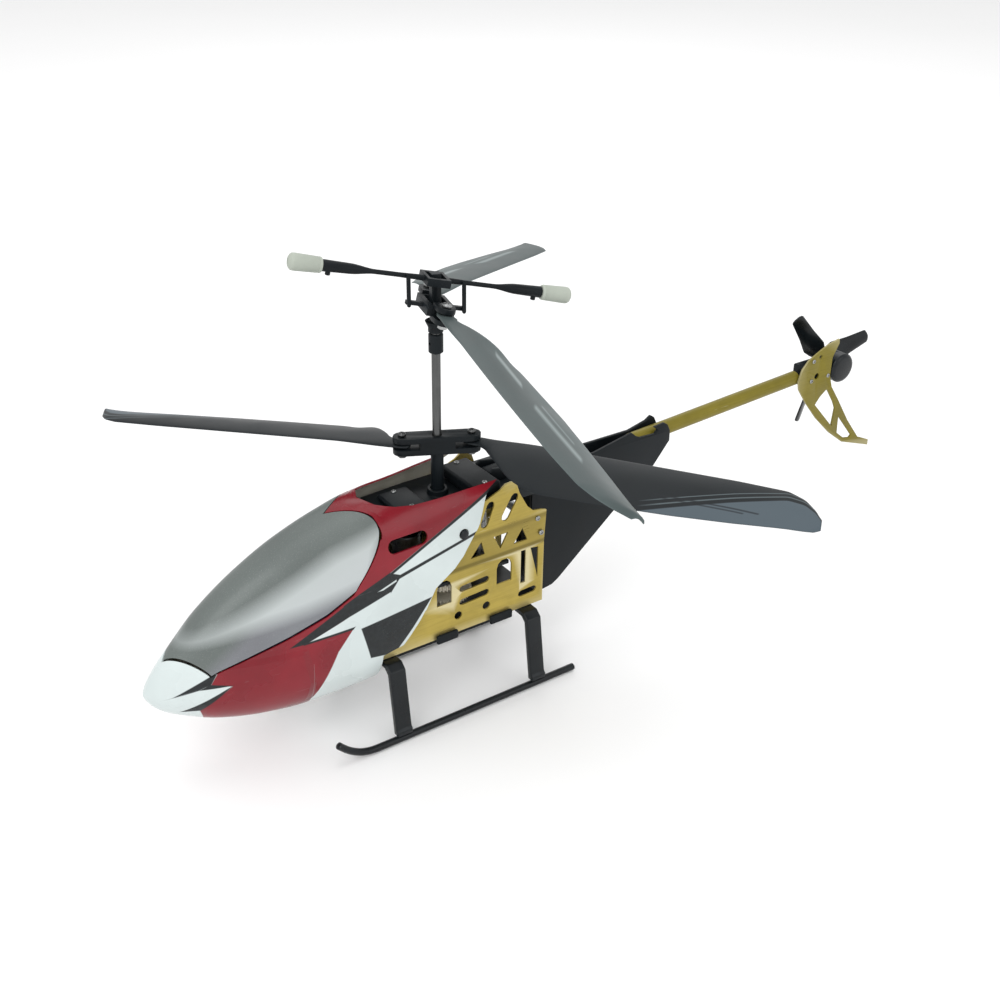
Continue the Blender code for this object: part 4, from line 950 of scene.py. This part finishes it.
def screw_piece(name, node, centre, axis, z0, z1, mat, head=2.3):
    """Detailed screw for a CAD screw node."""
    body, nut, slots = pan_screw(centre, axis, z0, z1, head)
    obj = mesh_object(name, *body)
    cut(obj, [nut], "UNION")
    cut(obj, slots)
    return finish_piece(obj, mat, node, 35)


def build_lower_rotor(coal, dark, dark_steel):
    """Grip bar, blades and screws of the lower rotor."""
    refined("lower_hub", coal, 0.55)
    for word, k in (("a", 0.0), ("b", 180.0)):
        a = math.radians(GRIP_AZ + k)
        q = Vector((PIVOT_LOW * math.cos(a), PIVOT_LOW * math.sin(a), Z_LOW_HUB))
        length = ROTOR_R + 3.0 - PIVOT_LOW * math.cos(math.radians(GRIP_AZ - LOW_AZ))
        put = Matrix.Translation(q) @ spin_z(LOW_AZ + k)
        hole = lathe(q - Vector((0, 0, 4)), (0, 0, 1), [(0, 0), (0, 1.35), (8, 1.35), (8, 0)], 24)
        blade_piece("lower_blade_" + word + "_fine", "lower_blade_" + word, length, 1.0, (0.0, LOW_SLOPE),
                    PITCH_LOW, 1.0, put, dark, hole)
        node = "lower_screw_" + word
        screw_piece(node + "_fine", node, q, (0, 0, 1), -6.5, 4.8, dark_steel, 2.0)


def build_upper_rotor(coal, grey, steel, beige):
    """Head, blades, flybar, weights and links."""
    head = spin_z(HUB_AZ)
    hold = head @ tilt_about(Z_HOLDER, -HEAD_TILT)
    bar = head @ tilt_about(Z_FLYBAR, -HEAD_TILT)
    refined("head_core", coal, 0.2)
    refined("blade_holder", coal, 0.3)
    up = (hold.to_3x3() @ Vector((0, 0, 1))).normalized()
    for word, sgn, az, bend in (("a", 1, NEAR_AZ, NEAR_BEND), ("b", -1, FAR_AZ, FAR_BEND)):
        q = hold @ Vector((sgn * PIVOT_UP, 0, Z_HOLDER))
        put = hold @ Matrix.Translation((sgn * PIVOT_UP, 0, Z_HOLDER)) @ spin_z(az - HUB_AZ)
        hole = lathe(q - up * 4, up, [(0, 0), (0, 1.35), (8, 1.35), (8, 0)], 24)
        blade_piece("upper_blade_" + word + "_fine", "upper_blade_" + word, ROTOR_R - PIVOT_UP, -1.0, bend,
                    PITCH_UP, FILL_UP, put, grey, hole)
        screw_piece("upper_screw_" + word + "_fine", "upper_screw_" + word, q, up, -6.0, 4.3, steel)
    build_flybar(bar, coal, beige)
    for word in ("front", "rear"):
        refined("flybar_link_" + word, coal, 0.25)


def build_flybar(bar, coal, beige):
    """Cradle and tapered rods; weights with a turned collar."""
    z = Z_FLYBAR
    ring = [(-6.6, -5.6), (6.6, -5.6), (6.6, 5.6), (-6.6, 5.6)]
    cradle = mesh_object("flybar_rod_fine", *moved(slab(ring, z - 1.8, z + 1.8, 2), bar))
    cut(cradle, [moved(box_geo(-4.6, 4.6, -4.0, 4.0, z - 3, z + 3), bar)])
    for sgn in (1, -1):
        start = 5.2
        end = FLYBAR_HALF - 15.5
        profile = [(0, 0), (0, 1.5), (1.5, 1.35), (12.0, 1.1), (FLYBAR_HALF * 0.34, 1.1)]
        for i in range(1, 9):
            t = i / 8
            s = FLYBAR_HALF * 0.34 + 12.0 * t
            profile.append((s, 1.1 + 1.3 * t * t * (3 - 2 * t)))
        profile += [(end - start - 0.5, 2.7), (end - start, 2.5), (end - start, 0)]
        cut(cradle, [moved(lathe((0, sgn * start, z), (0, sgn, 0), profile, 28), bar)], "UNION")
        stub = lathe((0, sgn * (end - 3.0), z - 1.5), (0, 0, -1), round_profile(2.6, 1.2, 0.3), 16)
        cut(cradle, [moved(stub, bar)], "UNION")
        word = "rear" if sgn > 0 else "front"
        start = sgn * (end + 0.3)
        profile = [(0, 0), (0, 3.0), (0.2, 3.3), (0.9, 3.6), (1.3, 3.6), (1.5, 3.45), (1.8, 3.6), (11.8, 3.9),
                   (12.6, 3.9), (13.6, 3.75), (14.3, 3.2), (14.8, 2.4), (14.95, 1.4), (14.75, 1.3),
                   (14.75, 0)]
        weight = mesh_object("flybar_weight_" + word + "_fine",
                             *moved(lathe((0, start, z), (0, sgn, 0), profile, 48), bar))
        finish_piece(weight, beige, "flybar_weight_" + word, 28)
    finish_piece(bevel(cradle, 0.25, 40), coal, "flybar_rod", 38)


# ------------------------------------------------------------------ drive train
def build_drive(coal, steel, dark_steel, nylon):
    """Shafts, collar, gears and pinions."""
    top = Z_LOW_HUB - 73.5
    tube = [(0, TUBE_R - 0.25), (0.25, TUBE_R), (top - 0.2, TUBE_R), (top, TUBE_R - 0.2),
            (top, SHAFT_R + 0.1), (0, SHAFT_R + 0.1)]
    outer = mesh_object("outer_shaft_fine", *ring_lathe((0, 0, 68.6), (0, 0, 1), tube, 48))
    finish_piece(outer, coal, "outer_shaft", 35)
    profile = [(0, 0), (0, SHAFT_R - 0.4), (0.5, SHAFT_R), (152.0, SHAFT_R), (152.7, SHAFT_R - 0.3),
               (152.7, 0)]
    inner = mesh_object("inner_shaft_fine", *lathe((0, 0, 44.0), (0, 0, 1), profile, 48))
    finish_piece(inner, dark_steel, "inner_shaft", 35)
    profile = [(0, SHAFT_R + 0.1), (0, 3.1), (0.4, 3.5), (8.9, 3.5), (9.3, 3.1), (9.3, SHAFT_R + 0.1)]
    collar = mesh_object("mast_collar_fine", *ring_lathe((0, 0, Z_COLLAR), (0, 0, 1), profile, 48))
    hole = lathe((0, -2.4, Z_COLLAR + 4.8), (0, -1, 0), [(0, 0), (0, 0.8), (3, 0.8), (3, 0)], 16)
    cut(collar, [hole])
    finish_piece(collar, coal, "mast_collar", 35)
    for node, z in (("gear_upper_rotor", 57.5), ("gear_lower_rotor", 66.5)):
        gear = refined(node, nylon, 0.08, 30)
        gear.name = node + "_fine"
    for node in ("pinion_rear", "pinion_front"):
        refined(node, steel, 0.08, 30)
    for node, y in (("motor_rear", GEAR_Y), ("motor_front", -GEAR_Y)):
        motor_piece(node, y, steel)


def motor_piece(node, y, steel):
    """Can motor: rolled can, front boss, end cap and cooling windows."""
    profile = [(0, 0), (0, 2.9), (0.3, 3.2), (1.2, 3.3), (1.2, MOTOR_R - 1.2), (1.4, MOTOR_R - 0.5),
               (1.9, MOTOR_R), (21.2, MOTOR_R), (21.4, MOTOR_R - 0.25), (21.8, MOTOR_R - 0.25),
               (22.0, MOTOR_R), (25.3, MOTOR_R), (25.9, MOTOR_R - 0.5), (26.0, MOTOR_R - 1.0), (26.0, 3.0),
               (27.2, 2.9), (27.4, 2.6), (27.4, 0)]
    obj = mesh_object(node + "_fine", *lathe((0, y, Z_CAN), (0, 0, 1), profile, 56))
    tools = []
    for k in range(4):
        turn = Matrix.Translation((0, y, 0)) @ spin_z(90 * k + 45)
        tools.append(moved(box_geo(MOTOR_R - 1.6, MOTOR_R + 2, -1.6, 1.6, 75.0, 78.5), turn))
    cut(obj, tools)
    finish_piece(obj, steel, node, 30)


# ------------------------------------------------------------------ frame and gear
def build_frame(gold, coal, gloss, steel, blue):
    """Side plates, plates, deck and the parts bolted between them."""
    for node in ("frame_plate_port", "frame_plate_starboard"):
        refined(node, gold, 0.16, 25, 40, 2)
    for node in ("bottom_plate", "motor_plate"):
        refined(node, coal, 0.3)
    refined("top_deck", coal, 0.45)
    for node in ("deck_box_front", "deck_box_middle", "deck_box_rear"):
        refined(node, coal, 0.35, 38, 20)
    refined("battery", blue, 0.9, 50, 20, 4)
    xi = 18.1
    spacer = lathe((-xi, 46.5, 90.0), (1, 0, 0), round_profile(2 * xi, 2.4, 0.3), 32)
    finish_piece(mesh_object("spacer_rear_fine", *spacer), steel, "spacer_rear", 35)
    for word, s in (("port", 1), ("starboard", -1)):
        profile = [(0, 0), (0, 1.2), (9.2, 1.2), (9.8, 1.9), (10.4, 2.3), (12.2, 2.3), (12.8, 1.9),
                   (13.1, 1.0), (13.2, 0)]
        node = "canopy_post_" + word
        post = mesh_object(node + "_fine", *lathe((POST_X * s, 0, POST_Z), (s, 0, 0), profile, 32))
        finish_piece(post, gloss, node, 35)
    for node in ("tab_front", "tab_rear"):
        for word in ("port", "starboard"):
            refined(node + "_" + word, coal, 0.35, 38, 20)


def build_skids(coal, gloss):
    """Swept skid tubes with round ends; legs with eased corners."""
    path = [(-77.5, 11.2), (-74.8, 8.2), (-71.0, 4.9), (-66.2, 2.0), (-61.5, 0.5), (-57.0, 0.0), (66.0, 0.0)]
    ys = np.array([q[0] for q in path])
    zs = np.array([q[1] for q in path])
    fine_y = np.concatenate([np.linspace(-77.4, -56.0, 24), np.linspace(-50.0, 65.2, 18)])
    fine_z = np.interp(fine_y, ys, zs)
    kernel = np.ones(5) / 5
    eased = np.convolve(np.pad(fine_z, 2, mode="edge"), kernel, mode="valid")
    fine_z = np.where(fine_y < -76.0, fine_z, np.maximum(eased, 0.0))
    for name, s in (("skid_port", 1), ("skid_starboard", -1)):
        rings = []
        ends = [(-0.6, 0.55), (-0.25, 0.85)]
        steps = [(0, e[0], e[1]) for e in ends] + [(i, 0.0, 1.0) for i in range(len(fine_y))]
        steps += [(len(fine_y) - 1, -ends[1][0], ends[1][1]), (len(fine_y) - 1, -ends[0][0], ends[0][1])]
        for i, extra, scale in steps:
            a = max(i - 1, 0)
            b = min(i + 1, len(fine_y) - 1)
            t = math.atan2(fine_z[b] - fine_z[a], fine_y[b] - fine_y[a])
            y = fine_y[i] + extra * math.cos(t)
            z = fine_z[i] + extra * math.sin(t)
            ring = []
            for k in range(28):
                q = 2 * math.pi * k / 28
                du = SKID_R * scale * math.cos(q)
                dv = SKID_R * scale * math.sin(q)
                ring.append((s * (SKID_X + du), y - dv * math.sin(t), z + dv * math.cos(t)))
            rings.append(ring)
        finish_piece(mesh_object(name + "_fine", *skin(rings)), gloss, name, 40)
    for word in ("front", "rear"):
        refined("cross_plate_" + word, coal, 0.4, 38, 20)
        for wing in ("port", "starboard"):
            refined("leg_" + word + "_" + wing, gloss, 0.7, 38, 20, 4)


# ------------------------------------------------------------------ tail
def build_tail(coal, gloss, olive, tube):
    """Side panels, boom, fin, motor and propeller."""
    for node in ("tail_panel_port", "tail_panel_starboard"):
        refined(node, coal, 0.5, 38, 30)
    for node in ("boom_clamp", "panel_spacer", "tail_motor_mount"):
        refined(node, coal, 0.35, 38, 25)
    axis = BOOM_B - BOOM_A
    length = axis.length
    wall = [(0, BOOM_R - 0.6), (0, BOOM_R - 0.15), (0.15, BOOM_R), (length - 0.15, BOOM_R),
            (length, BOOM_R - 0.15), (length, BOOM_R - 0.6)]
    boom = mesh_object("tail_boom_fine", *ring_lathe(BOOM_A, axis, wall, 56))
    finish_piece(boom, tube, "tail_boom", 35)
    refined("tail_fin", olive, 0.16, 25, 40, 2)
    r = TAIL_MOTOR_R
    profile = [(0, 0), (0, r - 2.4), (0.2, r - 1.6), (0.7, r - 0.6), (1.6, r), (6.6, r), (6.8, r - 0.25),
               (7.2, r - 0.25), (7.4, r), (12.9, r), (13.4, r - 0.3), (13.6, r - 0.9), (13.6, 2.4),
               (14.5, 2.3), (14.6, 2.1), (14.6, 0)]
    motor = mesh_object("tail_motor_fine", *lathe((6.4, PROP.y, PROP.z), (-1, 0, 0), profile, 56))
    finish_piece(motor, gloss, "tail_motor", 30)
    profile = [(0, 0), (0, 2.2), (0.2, 2.5), (0.8, 3.0), (3.3, 3.0), (4.0, 2.6), (4.4, 1.8), (4.4, 0)]
    prop = mesh_object("tail_prop_fine", *lathe((PROP.x + 2.6, PROP.y, PROP.z), (-1, 0, 0), profile, 36))
    cut(prop, [prop_blade(PROP_PHASE + 120 * k) for k in range(3)], "UNION")
    finish_piece(prop, gloss, "tail_prop", 45)


def prop_blade(degrees):
    """Twisted blade with a rounded tip."""
    t = math.radians(degrees)
    out = Vector((0, math.cos(t), math.sin(t)))
    tan = Vector((0, -math.sin(t), math.cos(t)))
    ax = Vector((1, 0, 0))
    table = np.array([(1.2, 2.0, 40.0), (6.0, 5.0, 38.0), (12.0, 6.6, 32.0), (24.0, 5.0, 24.0),
                      (PROP_R - 1.5, 3.9, 17.0), (PROP_R - 0.5, 3.2, 16.2), (PROP_R - 0.05, 2.0, 16.0)])
    rings = []
    for r in np.concatenate([np.linspace(1.2, PROP_R - 2, 22), [PROP_R - 1.2, PROP_R - 0.6, PROP_R - 0.1]]):
        half = float(np.interp(r, table[:, 0], table[:, 1]))
        q = math.radians(float(np.interp(r, table[:, 0], table[:, 2])))
        w = tan * math.cos(q) - ax * math.sin(q)
        n = tan * math.sin(q) + ax * math.cos(q)
        p = PROP + out * float(r)
        ring = []
        for k in range(18):
            g = 2 * math.pi * k / 18
            x = math.cos(g)
            h = 0.45 * math.sin(g) * abs(math.sin(g)) ** 0.2 * (1.1 - 0.3 * x) + 0.25 * (1 - x * x)
            ring.append(p + w * (half * x) + n * h)
        rings.append(ring)
    return skin(rings)


def small_screws(steel):
    """Screw heads on the deck, the frame plates and the fin, one piece per group."""
    heads = {"deck_screws": ([(-7.5, -20.5, 115.8), (9.5, -20.5, 115.8), (14.5, 18.0, 119.4),
                              (-10.5, 18.0, 119.4), (0.0, 45.5, 117.5)], (0, 0, 1), 1.3, "deck_box_middle"),
             "fin_screws": ([(5.6, 256.5, 124.5), (5.6, 256.5, 112.0), (5.6, 270.5, 112.5)], (1, 0, 0), 1.25,
                            "tail_fin"),
             "frame_screws": ([(20.7, 5.0, 98.2), (20.7, 46.5, 93.0), (20.7, 49.0, 84.0)], (1, 0, 0), 1.4,
                              "frame_plate_port")}
    for name, (places, axis, r, node) in heads.items():
        geos = []
        for q in places:
            geos.append(lathe(q, axis, [(-0.6, 0), (-0.6, r), (0.25, r), (0.5, r * 0.85), (0.62, r * 0.5),
                                        (0.3, r * 0.42), (0.3, 0)], 24))
        obj = mesh_object(name, *join(*geos))
        obj.data.materials.append(steel)
        obj.data.shade_smooth()
        obj.data.set_sharp_from_angle(angle=math.radians(30))
        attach(obj, body_of(node))


# ------------------------------------------------------------------ stage
def build_stage():
    """Pale floor, soft lights, camera at the photographed angle."""
    bpy.context.scene.view_settings.view_transform = "Standard"
    world = bpy.context.scene.world or bpy.data.worlds.new("world")
    bpy.context.scene.world = world
    world.use_nodes = True
    back = world.node_tree.nodes["Background"]
    back.inputs[0].default_value = (1.0, 1.0, 1.0, 1.0)
    back.inputs[1].default_value = 0.88
    mesh = bpy.data.meshes.new("floor")
    size = 6.0
    mesh.from_pydata([(-size, -size, -0.0004), (size, -size, -0.0004), (size, size, -0.0004),
                      (-size, size, -0.0004)], [], [(0, 1, 2, 3)])
    floor = bpy.data.objects.new("floor", mesh)
    bpy.context.scene.collection.objects.link(floor)
    p = Paint("floor_paint", rough=0.9, specular=0.1)
    p.color(p.mix(p.noise(3.0, 2.0), (0.93, 0.93, 0.93), (0.95, 0.95, 0.95)))
    mesh.materials.append(p.mat)
    lamps = (("key", (0.9, -1.3, 1.5), 1.1, 12.0), ("fill", (1.7, 0.7, 0.9), 1.2, 4.0),
             ("back", (-1.3, 0.9, 1.3), 1.2, 4.0), ("top", (0.0, 0.0, 2.0), 1.6, 7.0))
    for name, place, size, power in lamps:
        data = bpy.data.lights.new(name, "AREA")
        data.shape = "DISK"
        data.size = size
        data.energy = power
        lamp = bpy.data.objects.new(name, data)
        lamp.location = place
        lamp.rotation_euler = (Vector((0, 0, 0.1)) - Vector(place)).to_track_quat("-Z", "Y").to_euler()
        bpy.context.scene.collection.objects.link(lamp)
    camera_at(54.67, 29.0, 0.87, 693.3, (32.15, 94.7), 46.85)


def camera_at(azimuth, elevation, roll, distance, aim, lens):
    """Camera looking along a direction; aim is the sight line's offset from the mast's foot."""
    a, e, k = (math.radians(v) for v in (azimuth, elevation, roll))
    back = Vector((math.sin(a) * math.cos(e), -math.cos(a) * math.cos(e), math.sin(e)))
    right = Vector((math.cos(a), math.sin(a), 0.0))
    up = back.cross(right)
    right, up = right * math.cos(k) + up * math.sin(k), up * math.cos(k) - right * math.sin(k)
    data = bpy.data.cameras.new("camera")
    data.lens = lens
    data.sensor_width = 36.0
    data.clip_start = 0.01
    data.clip_end = 50.0
    cam = bpy.data.objects.new("camera", data)
    place = at(back * distance + right * aim[0] + up * aim[1])
    turn = Matrix((right, up, back)).transposed().to_4x4()
    cam.matrix_world = Matrix.Translation(place) @ turn
    bpy.context.scene.collection.objects.link(cam)
    bpy.context.scene.camera = cam


def main():
    """Materials first, then each group of pieces, then the stage."""
    coal = plastic("coal_plastic", COAL, 0.42)
    gloss = plastic("gloss_plastic", shade(COAL, 0.9), 0.28, 0.12, coat=0.1, specular=0.25)
    steel = metal("steel_metal", shade(STEEL, 0.62))
    dark_steel = metal("dark_steel_metal", shade(STEEL, 0.22), 0.34)
    nylon = plastic("nylon_plastic", NYLON, 0.5, spread=0.06, worn=1.1)
    beige = plastic("beige_plastic", BEIGE, 0.48, spread=0.08, worn=1.15)
    build_canopy(canopy_paint(), canopy_inside(), screen_paint())
    build_lower_rotor(coal, blade_paint("lower_blade_paint", (0.0095, 0.0125, 0.0145), "lower"), dark_steel)
    build_upper_rotor(coal, blade_paint("upper_blade_paint", SLATE, "upper"), steel, beige)
    build_drive(coal, steel, dark_steel, nylon)
    build_frame(gold_plate("gold_alloy_plate", GOLD, fold=True), coal, gloss, steel, wrap_paint())
    build_skids(coal, gloss)
    olive = gold_plate("olive_alloy", OLIVE, 0.4, 0.3)
    tube = gold_plate("boom_alloy", OLIVE, 0.4, 0.3, wear=0.0)
    build_tail(coal, gloss, olive, tube)
    small_screws(steel)
    build_stage()


main()
